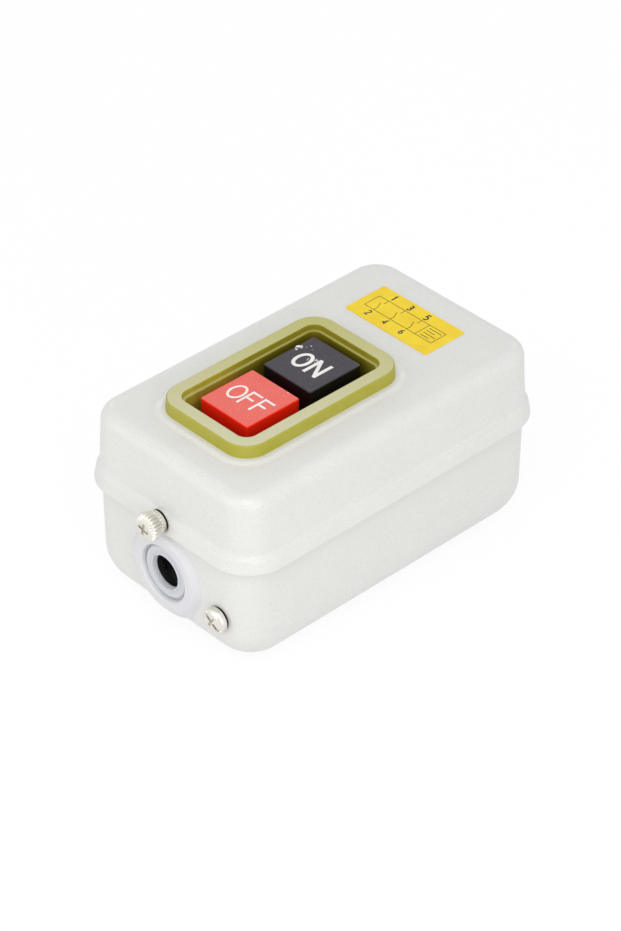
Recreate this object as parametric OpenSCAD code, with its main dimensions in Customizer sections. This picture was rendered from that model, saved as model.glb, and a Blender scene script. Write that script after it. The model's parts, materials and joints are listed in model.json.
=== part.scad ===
// Pushbutton control station: cast case, lift-off cover, two flat buttons and a latching
// three-pole switch unit. Origin: middle of the back face. +Z comes out of the front,
// +Y runs towards the label end, and +X is to the right when the buttons are read.

/* [Case] */
// Width over the lip of the cover
lip_w = 64; // [62:0.5:74]
// Length over the lip of the cover
lip_l = 106; // [104:0.5:124]
// Corner radius of the lip, seen from the front
lip_r = 12; // [10.5:0.25:13]
// Height of the cover's top face above the back
case_h = 53; // [52:0.25:60]
// Height of the lip's lower edge above the back
lip_z = 32.5; // [32:0.25:34]
// Height of the lip band up to the start of its shoulder
lip_h = 3.2; // [2.8:0.1:4]
// How far the lip stands out from the side of the cover
lip_out = 2; // [1:0.1:2.2]
// Height of the shoulder that blends the lip into the side
shoulder_h = 2.2; // [1.5:0.1:3]
// Rounding of the lip's lower edge
lip_edge = 0.6; // [0.3:0.1:1]
// Rounding where the cover's side meets its top
cover_edge = 3.2; // [2:0.1:4]
// How far each side of the cover leans in over its height
cover_draft = 0.7; // [0.5:0.1:1.6]
// Wall thickness of the cover
cover_wall = 2.2; // [1.8:0.1:2.6]
// Thickness of the cover's top
cover_top = 2.5; // [2:0.1:3]
// Wall thickness of the base
base_wall = 2.3; // [1.8:0.1:2.6]
// Thickness of the base's floor
floor_t = 2.5; // [2:0.1:3]
// Height of the rounding along the bottom edge of the base
base_edge = 11; // [9:0.5:12]
// How far each side of the base leans in from its rim to that rounding
base_draft = 0.25; // [0.1:0.05:0.8]
// Gap between the base's rim and the inside of the cover's lip
lip_gap = 0.3; // [0.2:0.05:0.4]

/* [Front frame and buttons] */
// Corner radius of the frame
frame_r = 7; // [6:0.25:8]
// Height of the frame above the raised land that it sits on
frame_h = 3.5; // [3:0.1:4.5]
// Width of the frame's rim, seen from the front
frame_rim = 3.9; // [3.4:0.1:4.4]
// Distance from the end of the lip to the frame
frame_end = 13.9; // [13:0.1:15]
// Gap between the buttons and the inside of the frame
well_gap = 4.1; // [3.8:0.1:4.5]
// Width of each button
button_w = 17.2; // [16:0.1:18]
// Length of each button
button_l = 17.6; // [16.5:0.1:18]
// Gap between the two buttons
button_gap = 3.5; // [3.4:0.1:4]
// How far the buttons' faces lie below the top of the frame
button_drop = 0.5; // [0.2:0.1:1]
// Travel of the ON button
on_travel = 4; // [3:0.25:4.5]
// Travel of the OFF button
off_travel = 3; // [2.5:0.25:3.5]

/* [Label] */
// Width of the label plate
label_w = 29.4; // [26:0.2:32]
// Height of the label plate
label_l = 14.2; // [12:0.2:15]
// Middle of the label plate, across the case
label_x = -1.5; // [-2:0.1:2]
// Distance from the end of the lip to the label plate
label_end = 12.9; // [11:0.1:14]
// Thickness of the label plate
label_t = 0.3; // [0.2:0.05:0.5]

/* [Cable entries and screws] */
// Height of the cable entries above the back
entry_z = 17.5; // [17:0.1:19]
// Diameter of the cast boss round a cable entry
entry_boss_d = 23.5; // [21:0.5:25]
// How far that boss stands out from the end wall
entry_boss_out = 1.6; // [0.8:0.1:2]
// Diameter of the recess that takes the grommet's flange
entry_recess_d = 16; // [14.8:0.1:17]
// Diameter of the hole for the grommet's neck
entry_hole_d = 12.4; // [12:0.1:13]
// Diameter of the cable hole in the grommet
cable_d = 9.2; // [8:0.1:9.6]
// Height of the thumb screws above the back
thumb_z = 34.5; // [34:0.1:35.5]
// Diameter of a thumb screw's knurled head
thumb_head_d = 7.8; // [7:0.1:9]
// Length of a thumb screw's knurled head
thumb_head_l = 5; // [4.5:0.1:7]
// Diameter of a thumb screw's shank
thumb_d = 4; // [3.6:0.1:4.1]
// Distance of the earth screw from the side of the lip
earth_side = 12.5; // [12:0.25:14]
// Height of the earth screw above the back
earth_z = 14.2; // [13.6:0.1:17]
// Diameter of the earth screw's head
earth_head_d = 7; // [6.6:0.1:8]

/* [Wall fixing] */
// Distance of each fixing hole from the end of the lip
fixing_end = 15.2; // [14.8:0.1:15.5]
// Diameter of the fixing holes
fixing_d = 4.5; // [4:0.1:5]

/* [Switch unit] */
// Half the distance between the contact gaps of one pole
break_half = 5.6; // [5.4:0.1:6]
// Thickness of a contact strip
strip_t = 1.2; // [1:0.1:1.4]
// Diameter of a button's plunger
plunger_d = 8; // [7:0.1:8.2]
// Running clearance of a plunger in its guide, all round
run_fit = 0.05; // [0.02:0.01:0.08]

/* [Hidden] */

// Fine facets for round parts, and how many points draw a rounded edge of a profile
$fn = 48;
edge_steps = 7;
// Overrun of every cut beyond the face that it opens
over = 1;
// Clearance between pieces that only lie beside each other
slack = 0.3;

// Rim of the base, inside the lip
lip_wall = 1.85;
rim_z = lip_z + lip_h + lip_edge + slack / 2;
rim_inset = lip_wall + lip_gap;
top_inset = lip_out + cover_draft;
rim_r = lip_r - rim_inset;
base_r = rim_r - base_draft;
shoulder_z = lip_z + lip_h;
side_z = shoulder_z + shoulder_h;
end_y = lip_l / 2 - rim_inset;
fixing_spacing = lip_l - 2 * fixing_end;
label_y = lip_l / 2 - label_end - label_l / 2;
earth_x = lip_w / 2 - earth_side;

// Land and frame
land_h = 0.5;
land_margin = 1.9;
frame_draft = 0.15;
frame_edge = 0.7;
frame_z = case_h + land_h;
frame_top = frame_z + frame_h;
well_step = 0.8;
well_drop = 1.6;
well_r = 3;
skirt_wall = 1.2;
open_w = button_w + 2 * well_gap;
open_l = 2 * button_l + button_gap + 2 * well_gap;
frame_w = open_w + 2 * frame_draft + 2 * frame_rim;
frame_l = open_l + 2 * frame_draft + 2 * frame_rim;
frame_y = frame_end + frame_l / 2 - lip_l / 2;

// Buttons
button_z = frame_top - button_drop;
cap_h = 10.5;
cap_roof = 2;
cap_wall = 1.6;
cap_edge = 0.35;
on_y = frame_y + (button_l + button_gap) / 2;
off_y = frame_y - (button_l + button_gap) / 2;
window_gap = 0.3;
socket_wall = 1.5;
plunger_neck = plunger_d - 2 * socket_wall;
neck_gap = 0.05;
socket_h = 4;

// Cable entries and end screws
entry_recess = 2;
grommet_flange = 1.2;
grommet_lip = 0.8;
grommet_hold = 0.8;
grommet_wall = 0.8;
entry_y = end_y - wall_inset(entry_z) + entry_boss_out;
entry_depth = base_wall + entry_boss_out;
tab_w = 11;
tab_t = 5;
tab_h = 3.4;
tab_low = 7.5;
collar_l = 0.6;
collar_d = 4.8;
thumb_foot_d = 5.8;
thumb_taper_l = 3;
thumb_edge = 0.7;
thumb_sink = 0.65;
sink_gap = 0.7;
thumb_l = rim_inset + base_wall + tab_t - thumb_sink;
thumb_slot = 1;
thumb_slot_depth = 1.2;
screw_fit = 0.05;
screw_end_gap = 0.2;
pan_h = 2.2;
pan_edge = 1.1;
pan_slot = 1;
washer_t = 0.6;
washer_d = 6.4;
earth_d = 4;
earth_l = 6;
earth_pad_l = 2;

// Guide housing, from the buttons down
tower_drop = 9;
tower_top = button_z - tower_drop;
tower_wall = 1.6;
tower_r = 1.5;
window_r = 1;
flange_h = 2.4;
flange_r = 2;
plate_t = 2.5;
deck_t = 2.5;
deck_drop = 9.5;
deck_z = tower_top - deck_drop;

// Switch unit, from the floor up, with its heights as shares of the room for it
pad_share = 0.078;
slab_share = 0.147;
barrier_share = 0.29;
pivot_share = 0.543;
catch_share = 0.645;
catch_h_share = 0.29;
block_z = floor_t + pad_share * (tower_top - floor_t);
pad_h = block_z - floor_t;
slab_h = slab_share * (tower_top - floor_t);
slab_z = block_z + slab_h;
ear_r = 2.5;
ear_h = 3;
ear_gap = 1.9;
ear_x = lip_w / 2 - rim_inset - base_wall - base_draft - ear_gap - ear_r;
block_screw_d = 3;
block_screw_head_d = 5.2;
block_screw_head_h = 2;
block_half = ear_x - block_screw_head_d / 2 - slack;
block_wall = 1.6;
block_over = 1.05;
block_y0 = frame_y - open_l / 2 - block_over - slack;
line_room = 16.45;
block_y1 = on_y + break_half + line_room;
ear_y = (block_y0 + block_y1) / 2;
post_r = 2.1;
barrier_top = slab_z + barrier_share * (deck_z - slab_z);
tip_d = 3.4;
tip_h = 1.2;
contact_gap = on_travel + run_fit;
bridge_t = 1;
bridge_end = 2.5;
bridge_l = 2 * (break_half + bridge_end);
bridge_z = slab_z + strip_t + 2 * tip_h + contact_gap;
bar_gap = 0.4;
bar_half = block_half - block_wall - bar_gap;
bar_wall = 2.1;
slot_gap = 0.5;
strip_share = 0.516;
pole_pitch = (bar_half - bar_wall - slot_gap) / (1 + strip_share / 2);
strip_w = strip_share * pole_pitch;
bar_l = 2 * break_half - tip_d - 2 * slack;
bar_sill = 1.4;
bar_z = bridge_z - bar_sill;
bar_h = 9.4;
bar_room = 2.7;
block_top = bar_z + bar_h + bar_room;
slot_w = strip_w + 2 * slot_gap;
slot_h = bar_h - 2 * bar_sill;
terminal_share = 0.625;
terminal_d = terminal_share * strip_w;
terminal_head_d = strip_w + slack / 2;
terminal_head_h = 2.4;
terminal_l = 5;
clamp_w = strip_w + 2 * slack;
clamp_t = 1.2;
clamp_hole = terminal_d + 2 * slack;
clamp_edge = 0.6;
line_y = block_y1 - clamp_w / 2 - clamp_edge;
load_y = block_y0 + clamp_w / 2 + clamp_edge;

// Guide housing, across and along the case
tower_l = open_l + 2 * slack;
tower_y0 = frame_y - tower_l / 2;
housing_screw_d = 2.6;
housing_screw_l = 8;
housing_head_d = 4;
housing_head_h = 1.8;
housing_screw_x = block_half - post_r;
tower_half = housing_screw_x - housing_head_d / 2 - run_fit;
housing_screw_y = on_y - frame_y + bar_l / 2 + post_r + 2 * slack;
guide_hole_r = plunger_d / 2 + run_fit;

// Latch
pivot_y = frame_y;
pivot_z = slab_z + pivot_share * (deck_z - slab_z);
pin_d = 2.5;
lever_w = 6;
nose_d = 3;
nose_h = 3.5;
arm_t = 2;
lever_reach = pivot_y - off_y;
arm_over = 1;
nose_gap = 0.5;
nose_z = pivot_z + arm_t + nose_gap;
lug_t = 2;
catch_out = 1.5;
catch_z = slab_z + catch_share * (deck_z - slab_z);
catch_h = catch_h_share * (deck_z - slab_z);
hook_h = 2.4;
hook_gap = 0.25;
hook_z = catch_z + catch_h - on_travel + hook_gap;
shelf_l = 6;
shelf_t = 2;
shelf_gap = 1.6;
shelf_z = slab_z + strip_t + shelf_gap;

// Springs
spring_gap = 0.05;
wire_d = 0.8;
return_d = (plunger_d + button_l - 2 * cap_wall) / 2;
return_turns = 7;
small_spring_d = 4;
small_wire_d = 0.6;
contact_turns = 4;
latch_turns = 5;
spring_sides = 6;
turn_steps = 10;

// Colours
case_paint = [0.87, 0.87, 0.84];
frame_olive = [0.75, 0.72, 0.3];
black_moulding = [0.13, 0.13, 0.14];
button_black = [0.2, 0.19, 0.22];
button_red = [0.91, 0.13, 0.04];
plate_yellow = [0.96, 0.82, 0.06];
nickel = [0.76, 0.75, 0.72];
brass = [0.8, 0.65, 0.32];
silver = [0.86, 0.86, 0.86];
steel = [0.62, 0.62, 0.64];
grommet_white = [0.85, 0.86, 0.88];
lever_red = [0.62, 0.28, 0.2];

// Points of a rounded corner of a profile: centre, radii along x and z, start and end angle
function bend(cx, cz, rx, rz, a0, a1) =
    [for (i = [0:edge_steps]) let (a = a0 + (a1 - a0) * i / edge_steps)
        [cx + rx * cos(a), cz + rz * sin(a)]];

// Points of a smooth shoulder from (x0, z0) up to (x1, z1)
function shoulder(x0, z0, x1, z1) =
    [for (i = [0:edge_steps]) let (t = i / edge_steps, s = (1 - cos(180 * t)) / 2)
        [x0 + (x1 - x0) * s, z0 + (z1 - z0) * t]];

// Sweeps a profile, drawn outwards from the corner centre, round a rounded rectangle
module swept(w, l, r, z0, z1, points) {
    cx = w / 2 - r;
    cy = l / 2 - r;
    for (sx = [0, 1], sy = [0, 1])
        mirror([sx, 0, 0]) mirror([0, sy, 0]) translate([cx, cy, 0])
            rotate_extrude(angle = 90) polygon(points);
    for (s = [0, 1]) {
        mirror([s, 0, 0]) translate([cx, cy, 0]) rotate([90, 0, 0])
            linear_extrude(2 * cy) polygon(points);
        mirror([0, s, 0]) translate([-cx, cy, 0]) rotate([90, 0, 90])
            linear_extrude(2 * cx) polygon(points);
    }
    translate([-cx, -cy, z0]) cube([2 * cx, 2 * cy, z1 - z0]);
}

// Straight-sided block with rounded upright corners
module rounded(w, l, r, z0, z1) {
    swept(w, l, r, z0, z1, [[0, z0], [r, z0], [r, z1], [0, z1]]);
}

// Block whose sides lean in by lean over its height, with its top edge rounded
module leaning(w, l, r, z0, z1, lean, edge) {
    swept(w, l, r, z0, z1, concat([[0, z0], [r, z0]],
        bend(r - lean - edge, z1 - edge, edge, edge, 0, 90), [[0, z1]]));
}

// Wire wound into a compression spring standing on the floor of its own space
module spring(d, h, turns, wire) {
    steps = round(turns * turn_steps);
    rise = (h - wire) / turns;
    tilt = atan(rise / (PI * d));
    ring = [for (i = [0:steps], k = [0:spring_sides - 1])
        let (a = 360 * i / turn_steps, q = 360 * k / spring_sides,
            out = d / 2 + wire / 2 * cos(q), side = wire / 2 * sin(q))
        [out * cos(a) + side * sin(tilt) * sin(a), out * sin(a) - side * sin(tilt) * cos(a),
            wire / 2 + rise * i / turn_steps + side * cos(tilt)]];
    around = [for (i = [0:steps - 1], k = [0:spring_sides - 1])
        let (n = (k + 1) % spring_sides, b = i * spring_sides, t = b + spring_sides)
        each [[b + k, b + n, t + n], [b + k, t + n, t + k]]];
    start = [for (k = [1:spring_sides - 2]) [0, k + 1, k]];
    last = steps * spring_sides;
    finish = [for (k = [1:spring_sides - 2]) [last, last + k, last + k + 1]];
    polyhedron(ring, concat(around, start, finish));
}

// Points of the outer profile of the base, and of its hollow
function base_outer() = concat([[0, 0]],
    bend(0, base_edge, base_r, base_edge, -90, 0), [[rim_r, rim_z], [0, rim_z]]);
function base_hollow() = concat([[0, floor_t]],
    bend(0, base_edge, base_r - base_wall, base_edge - floor_t, -90, 0),
    [[rim_r - base_wall, rim_z + over], [0, rim_z + over]]);

// Both ends of the case, each drawn at the far end in +Y and then mirrored
module both_ends() {
    for (s = [0, 1]) mirror([0, s, 0]) children();
}

// Cylinder along +Y from y0 to y1 at height z
module along_y(x, z, d, y0, y1) {
    translate([x, y1, z]) rotate([90, 0, 0]) cylinder(d = d, h = y1 - y0);
}

module base_box() {
    color(case_paint) difference() {
        union() {
            difference() {
                swept(lip_w - 2 * rim_inset, lip_l - 2 * rim_inset, rim_r, 0, rim_z, base_outer());
                swept(lip_w - 2 * rim_inset, lip_l - 2 * rim_inset, rim_r,
                    floor_t, rim_z + over, base_hollow());
            }
            both_ends() {
                along_y(0, entry_z, entry_boss_d, entry_y - entry_depth, entry_y);
                translate([-tab_w / 2, end_y - base_wall - tab_t, thumb_z - tab_low])
                    cube([tab_w, tab_t, tab_low + tab_h]);
                translate([-tab_w / 2, end_y - base_wall - tab_t, thumb_z - tab_low])
                    cube([tab_w, tab_t + base_wall / 2, rim_z - thumb_z + tab_low]);
            }
            for (s = [-1, 1]) translate([s * ear_x, ear_y, floor_t / 2])
                cylinder(r = ear_r, h = pad_h + floor_t / 2);
            for (s = [-1, 1], y = [block_y0 + ear_r * 2, block_y1 - ear_r * 2])
                translate([s * pole_pitch, y, floor_t / 2])
                    cylinder(r = ear_r, h = pad_h + floor_t / 2);
            translate([earth_x, earth_pad_y(), earth_z]) rotate([-90, 0, 0])
                cylinder(d = earth_head_d, h = base_wall + earth_pad_l);
        }
        for (s = [-1, 1]) translate([0, s * fixing_spacing / 2, -over])
            cylinder(d = fixing_d, h = floor_t + 2 * over);
        both_ends() {
            along_y(0, entry_z, entry_recess_d, entry_y - entry_recess, entry_y + over);
            along_y(0, entry_z, entry_hole_d, entry_y - entry_depth - over, entry_y + over);
            along_y(0, entry_z, entry_hole_d + 2 * grommet_hold + 2 * slack,
                entry_y - entry_depth - over, entry_y - entry_depth);
            along_y(0, thumb_z, thumb_d + 2 * screw_fit, end_y - base_wall - tab_t - over,
                end_y + over);
        }
        for (s = [-1, 1]) translate([s * ear_x, ear_y, floor_t])
            cylinder(d = block_screw_d + 2 * screw_fit, h = pad_h + over);
        translate([earth_x, -end_y - over, earth_z]) rotate([-90, 0, 0])
            cylinder(d = earth_d + 2 * screw_fit, h = 2 * base_wall + earth_pad_l + 2 * over);
    }
}

// How far the side of the base has leaned in at height z
function wall_inset(z) = base_draft * (rim_z - z) / (rim_z - base_edge);

// The earth pad inside the end wall starts within the wall, and the washer rests on its face
function earth_pad_y() = -end_y + base_wall / 2 + base_draft;
function earth_face() = -end_y + wall_inset(earth_z + washer_d / 2);

// Outer profile of the cover, and of the two steps of its hollow
function cover_outer() = concat([[0, lip_z], [lip_r - lip_edge, lip_z]],
    bend(lip_r - lip_edge, lip_z + lip_edge, lip_edge, lip_edge, -90, 0),
    shoulder(lip_r, shoulder_z, lip_r - lip_out, side_z),
    bend(lip_r - top_inset - cover_edge, case_h - cover_edge, cover_edge, cover_edge, 0, 90),
    [[0, case_h]]);
function cover_hollow() = [[0, rim_z], [lip_r - lip_out - cover_wall, rim_z],
    [lip_r - top_inset - cover_wall, case_h - cover_top], [0, case_h - cover_top]];

module cover() {
    land_w = frame_w + 2 * land_margin;
    land_l = frame_l + 2 * land_margin;
    color(case_paint) difference() {
        union() {
            swept(lip_w, lip_l, lip_r, lip_z, case_h, cover_outer());
            translate([0, frame_y, 0])
                leaning(land_w, land_l, frame_r + land_margin, case_h - cover_top / 2, frame_z,
                    land_h / 2, land_h / 2);
        }
        rounded(lip_w - 2 * rim_inset + 2 * lip_gap, lip_l - 2 * rim_inset + 2 * lip_gap,
            rim_r + lip_gap, lip_z - over, rim_z);
        swept(lip_w, lip_l, lip_r, rim_z, case_h - cover_top, cover_hollow());
        translate([0, frame_y, 0])
            rounded(open_w + 2 * (skirt_wall - well_step + slack),
                open_l + 2 * (skirt_wall - well_step + slack), well_r + skirt_wall,
                case_h - cover_top - over, frame_z + over);
        both_ends() {
            along_y(0, thumb_z, thumb_d + 2 * slack, end_y - base_wall - over, lip_l / 2 + over);
            along_y(0, thumb_z, thumb_foot_d + 2 * sink_gap, lip_l / 2 - thumb_sink, lip_l / 2 + over);
        }
    }
}

module bezel_frame() {
    hook_l = 8;
    hook_out = 0.7;
    hook_h = 1.2;
    skirt_z = case_h - cover_top - hook_h - run_fit;
    color(frame_olive) translate([0, frame_y, 0]) difference() {
        union() {
            leaning(frame_w, frame_l, frame_r, frame_z, frame_top, frame_draft, frame_edge);
            rounded(open_w + 2 * (skirt_wall - well_step), open_l + 2 * (skirt_wall - well_step),
                well_r + skirt_wall - slack, skirt_z, frame_z);
            for (s = [0, 1]) mirror([0, s, 0])
                translate([-hook_l / 2, open_l / 2 - well_step, skirt_z])
                    cube([hook_l, skirt_wall + slack + hook_out, hook_h]);
        }
        rounded(open_w, open_l, well_r, frame_top - well_drop, frame_top + over);
        rounded(open_w - 2 * well_step, open_l - 2 * well_step, well_r - well_step,
            skirt_z - over, frame_top + over);
    }
}

module rating_label() {
    color(plate_yellow) translate([label_x, label_y, 0])
        rounded(label_w, label_l, 2 * label_t, case_h, case_h + label_t);
}

// Hollow button cap with a socket for its plunger, its face at button_z
module cap(y) {
    translate([0, y, 0]) difference() {
        union() {
            difference() {
                leaning(button_w, button_l, 2 * cap_edge, button_z - cap_h, button_z, 0, cap_edge);
                translate([0, 0, button_z - cap_roof - cap_h])
                    rounded(button_w - 2 * cap_wall, button_l - 2 * cap_wall, cap_edge, 0, cap_h);
            }
            translate([0, 0, button_z - cap_roof - socket_h])
                cylinder(d = plunger_neck + 2 * socket_wall, h = socket_h + cap_roof / 2);
        }
        translate([0, 0, button_z - cap_roof - socket_h - over])
            cylinder(d = plunger_neck, h = socket_h + over);
    }
}

module off_button() { color(button_red) cap(off_y); }
module on_button() { color(button_black) cap(on_y); }

// Knurled head, collar and shank of an end screw, drawn at the +Y end
module thumb_screw() {
    seat = lip_l / 2 - thumb_sink;
    front = seat + run_fit + collar_l + thumb_head_l;
    knurls = 24;
    groove = 0.5;
    color(nickel) difference() {
        union() {
            along_y(0, thumb_z, collar_d, seat + run_fit, seat + run_fit + collar_l);
            translate([0, seat + run_fit + collar_l, thumb_z]) rotate([-90, 0, 0])
                cylinder(d1 = thumb_foot_d, d2 = thumb_head_d, h = thumb_taper_l);
            along_y(0, thumb_z, thumb_head_d, seat + run_fit + collar_l + thumb_taper_l,
                front - thumb_edge);
            translate([0, front - thumb_edge, thumb_z]) rotate([-90, 0, 0])
                cylinder(d1 = thumb_head_d, d2 = thumb_head_d - 2 * thumb_edge, h = thumb_edge);
            along_y(0, thumb_z, thumb_d, seat - thumb_l, seat + run_fit + collar_l);
        }
        for (i = [0:knurls - 1]) translate([0, 0, thumb_z]) rotate([0, 360 * i / knurls, 0])
            translate([thumb_head_d / 2, front - groove, 0]) rotate([90, 0, 0])
                cylinder(d = groove, h = thumb_head_l - 2 * groove, $fn = 4);
        for (a = [0, 90]) translate([0, front, thumb_z])
            rotate([0, a, 0]) translate([-thumb_head_d / 3, -thumb_slot_depth, -thumb_slot / 2])
                cube([2 * thumb_head_d / 3, thumb_slot_depth + over, thumb_slot]);
    }
}
module rear_thumb_screw() { thumb_screw(); }
module front_thumb_screw() { mirror([0, 1, 0]) thumb_screw(); }

// Grommet pressed into a cable entry, drawn at the +Y end
module grommet() {
    y1 = entry_y - entry_recess + grommet_flange;
    inner = entry_y - entry_depth;
    fit = 0.1;
    color(grommet_white) difference() {
        union() {
            along_y(0, entry_z, entry_recess_d - 2 * fit, y1 - grommet_flange, y1);
            along_y(0, entry_z, entry_hole_d - 2 * fit, inner - grommet_lip, y1);
            along_y(0, entry_z, entry_hole_d + 2 * grommet_hold, inner - grommet_lip, inner);
        }
        along_y(0, entry_z, cable_d, inner - grommet_lip - over, y1 + over);
        along_y(0, entry_z, entry_hole_d - 2 * fit - 2 * grommet_wall,
            inner - grommet_lip - over, y1 - grommet_flange);
    }
}
module rear_grommet() { grommet(); }
module front_grommet() { mirror([0, 1, 0]) grommet(); }

module earth_washer() {
    color(steel) difference() {
        along_y(earth_x, earth_z, washer_d, earth_face() - washer_t, earth_face());
        along_y(earth_x, earth_z, earth_d + 2 * slack, earth_face() - washer_t - over,
            earth_face() + over);
    }
}

module earth_screw() {
    y0 = earth_face() - washer_t;
    slot_turn = 40;
    color(nickel) difference() {
        union() {
            translate([earth_x, y0, earth_z]) rotate([90, 0, 0]) rotate_extrude()
                polygon(concat([[0, 0], [earth_head_d / 2, 0]],
                    bend(earth_head_d / 2 - pan_edge, pan_h - pan_edge, pan_edge, pan_edge, 0, 90),
                    [[0, pan_h]]));
            along_y(earth_x, earth_z, earth_d, y0, y0 + earth_l);
        }
        translate([earth_x, y0 - pan_h + pan_slot, earth_z]) rotate([90, slot_turn, 0]) {
            translate([-earth_head_d, -pan_slot / 2, 0])
                cube([2 * earth_head_d, pan_slot, pan_slot + over]);
            translate([-pan_slot / 2, -earth_head_d / 4, 0])
                cube([pan_slot, earth_head_d / 2, pan_slot + over]);
        }
    }
}

// Middle of each pole across the case
function pole_x(i) = (i - 1) * pole_pitch;

module switch_block() {
    color(black_moulding) difference() {
        union() {
            translate([-block_half, block_y0, block_z])
                cube([2 * block_half, block_y1 - block_y0, slab_h]);
            for (s = [-1, 1]) {
                translate([s * ear_x, ear_y, block_z]) cylinder(r = ear_r, h = ear_h);
                translate([s > 0 ? block_half - over : -ear_x, ear_y - ear_r, block_z])
                    cube([ear_x - block_half + over, 2 * ear_r, ear_h]);
                translate([s > 0 ? block_half - block_wall : -block_half, block_y0, block_z])
                    cube([block_wall, block_y1 - block_y0, barrier_top - block_z]);
                translate([s > 0 ? block_half - block_wall : -block_half, tower_y0, block_z])
                    cube([block_wall, tower_l, block_top - block_z]);
                for (y = [block_y0, on_y + bar_l]) translate([s * pole_pitch / 2 - block_wall / 2,
                    y, block_z]) cube([block_wall, y < on_y ? on_y - bar_l - block_y0 :
                        block_y1 - on_y - bar_l, barrier_top - block_z]);
            }
            for (sx = [-1, 1], sy = [-1, 1])
                translate([sx * housing_screw_x, frame_y + sy * housing_screw_y, block_z])
                    cylinder(r = post_r, h = block_top - block_z);
            translate([-pole_pitch / 2, off_y - shelf_l / 2, shelf_z])
                cube([pole_pitch, shelf_l, shelf_t]);
        }
        for (s = [-1, 1]) translate([s * ear_x, ear_y, block_z - over])
            cylinder(d = block_screw_d + 2 * slack, h = ear_h + 2 * over);
        for (sx = [-1, 1], sy = [-1, 1])
            translate([sx * housing_screw_x, frame_y + sy * housing_screw_y,
                block_top - housing_screw_l]) cylinder(d = housing_screw_d + 2 * screw_fit,
                h = housing_screw_l + over);
        for (i = [0:2], y = [line_y, load_y]) translate([pole_x(i), y, slab_z - terminal_l])
            cylinder(d = terminal_d + 2 * screw_fit, h = terminal_l + over);
    }
}

module block_screws() {
    color(nickel) for (s = [-1, 1]) translate([s * ear_x, ear_y, 0]) {
        translate([0, 0, block_z + ear_h]) pan_head(block_screw_head_d, block_screw_head_h);
        translate([0, 0, floor_t + screw_end_gap])
            cylinder(d = block_screw_d, h = block_z + ear_h - floor_t - screw_end_gap);
    }
}

// Slotted screw head standing on z = 0
module pan_head(d, h) {
    slot = d / 6;
    difference() {
        cylinder(d = d, h = h);
        translate([-d, -slot / 2, h / 2]) cube([2 * d, slot, h]);
    }
}

module guide_housing() {
    color(black_moulding) difference() {
        union() {
            translate([0, frame_y, 0]) {
                rounded(2 * tower_half, tower_l, tower_r, block_top, tower_top);
                rounded(2 * block_half, tower_l, flange_r, block_top, block_top + flange_h);
            }
        }
        translate([0, frame_y, 0])
            rounded(2 * (tower_half - tower_wall), tower_l - 2 * tower_wall, window_r,
                block_top - over, deck_z);
        translate([0, frame_y, 0])
            rounded(2 * (tower_half - tower_wall), tower_l - 2 * tower_wall, window_r,
                deck_z + deck_t, tower_top - plate_t);
        for (y = [on_y, off_y]) translate([0, y, 0]) {
            rounded(button_w + 2 * window_gap, button_l + 2 * window_gap, window_r,
                tower_top - plate_t - over, tower_top + over);
            translate([0, 0, deck_z - over]) cylinder(r = guide_hole_r, h = deck_t + 2 * over);
        }
        for (sx = [-1, 1], sy = [-1, 1])
            translate([sx * housing_screw_x, frame_y + sy * housing_screw_y, block_top - over])
                cylinder(d = housing_screw_d + 2 * slack, h = flange_h + 2 * over);
    }
    color(black_moulding) for (s = [-1, 1]) pivot_lug(s);
}

// Lug that hangs from the deck beside the lever and carries the latch pin
module pivot_lug(s) {
    lug_l = 6;
    x0 = lever_w / 2 + slack;
    difference() {
        translate([s > 0 ? x0 : -x0 - lug_t, pivot_y - lug_l / 2, pivot_z - lug_l / 2])
            cube([lug_t, lug_l, deck_z - pivot_z + lug_l / 2 + deck_t / 2]);
        translate([-x0 - lug_t - over, pivot_y, pivot_z]) rotate([0, 90, 0])
            cylinder(d = pin_d + 2 * screw_fit, h = 2 * (x0 + lug_t + over));
    }
}

module housing_screws() {
    color(nickel) for (sx = [-1, 1], sy = [-1, 1])
        translate([sx * housing_screw_x, frame_y + sy * housing_screw_y, 0]) {
            translate([0, 0, block_top + flange_h]) pan_head(housing_head_d, housing_head_h);
            translate([0, 0, block_top - housing_screw_l + screw_end_gap])
                cylinder(d = housing_screw_d, h = housing_screw_l + flange_h - screw_end_gap);
        }
}

// Round plunger with the neck that its button is pressed on
module plunger(y, z0) {
    translate([0, y, 0]) {
        translate([0, 0, z0]) cylinder(d = plunger_d, h = button_z - cap_roof - socket_h - z0);
        translate([0, 0, z0])
            cylinder(d = plunger_neck, h = button_z - cap_roof - neck_gap - z0);
    }
}

module contact_carrier() {
    color(lever_red) difference() {
        union() {
            translate([-bar_half, on_y - bar_l / 2, bar_z]) cube([2 * bar_half, bar_l, bar_h]);
            plunger(on_y, bar_z + bar_h / 2);
            translate([-lever_w / 2, on_y - plunger_d / 2 - catch_out, catch_z])
                cube([lever_w, catch_out + plunger_d / 2, catch_h]);
        }
        for (i = [0:2]) translate([pole_x(i) - slot_w / 2, on_y - bar_l, bridge_z])
            cube([slot_w, 2 * bar_l, slot_h]);
    }
}

module off_plunger() {
    color(lever_red) {
        plunger(off_y, nose_z + nose_h);
        translate([0, off_y, nose_z]) cylinder(d = nose_d, h = nose_h + over);
    }
}

module contact_bridge(i) {
    color(brass) translate([pole_x(i) - strip_w / 2, on_y - bridge_l / 2, bridge_z])
        cube([strip_w, bridge_l, bridge_t]);
}
module contact_bridge_left() { contact_bridge(0); }
module contact_bridge_middle() { contact_bridge(1); }
module contact_bridge_right() { contact_bridge(2); }

module contact_spring(i) {
    color(steel) translate([pole_x(i), on_y, bridge_z + bridge_t + spring_gap])
        spring(small_spring_d, slot_h - bridge_t - 2 * spring_gap, contact_turns, small_wire_d);
}
module contact_spring_left() { contact_spring(0); }
module contact_spring_middle() { contact_spring(1); }
module contact_spring_right() { contact_spring(2); }

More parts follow.
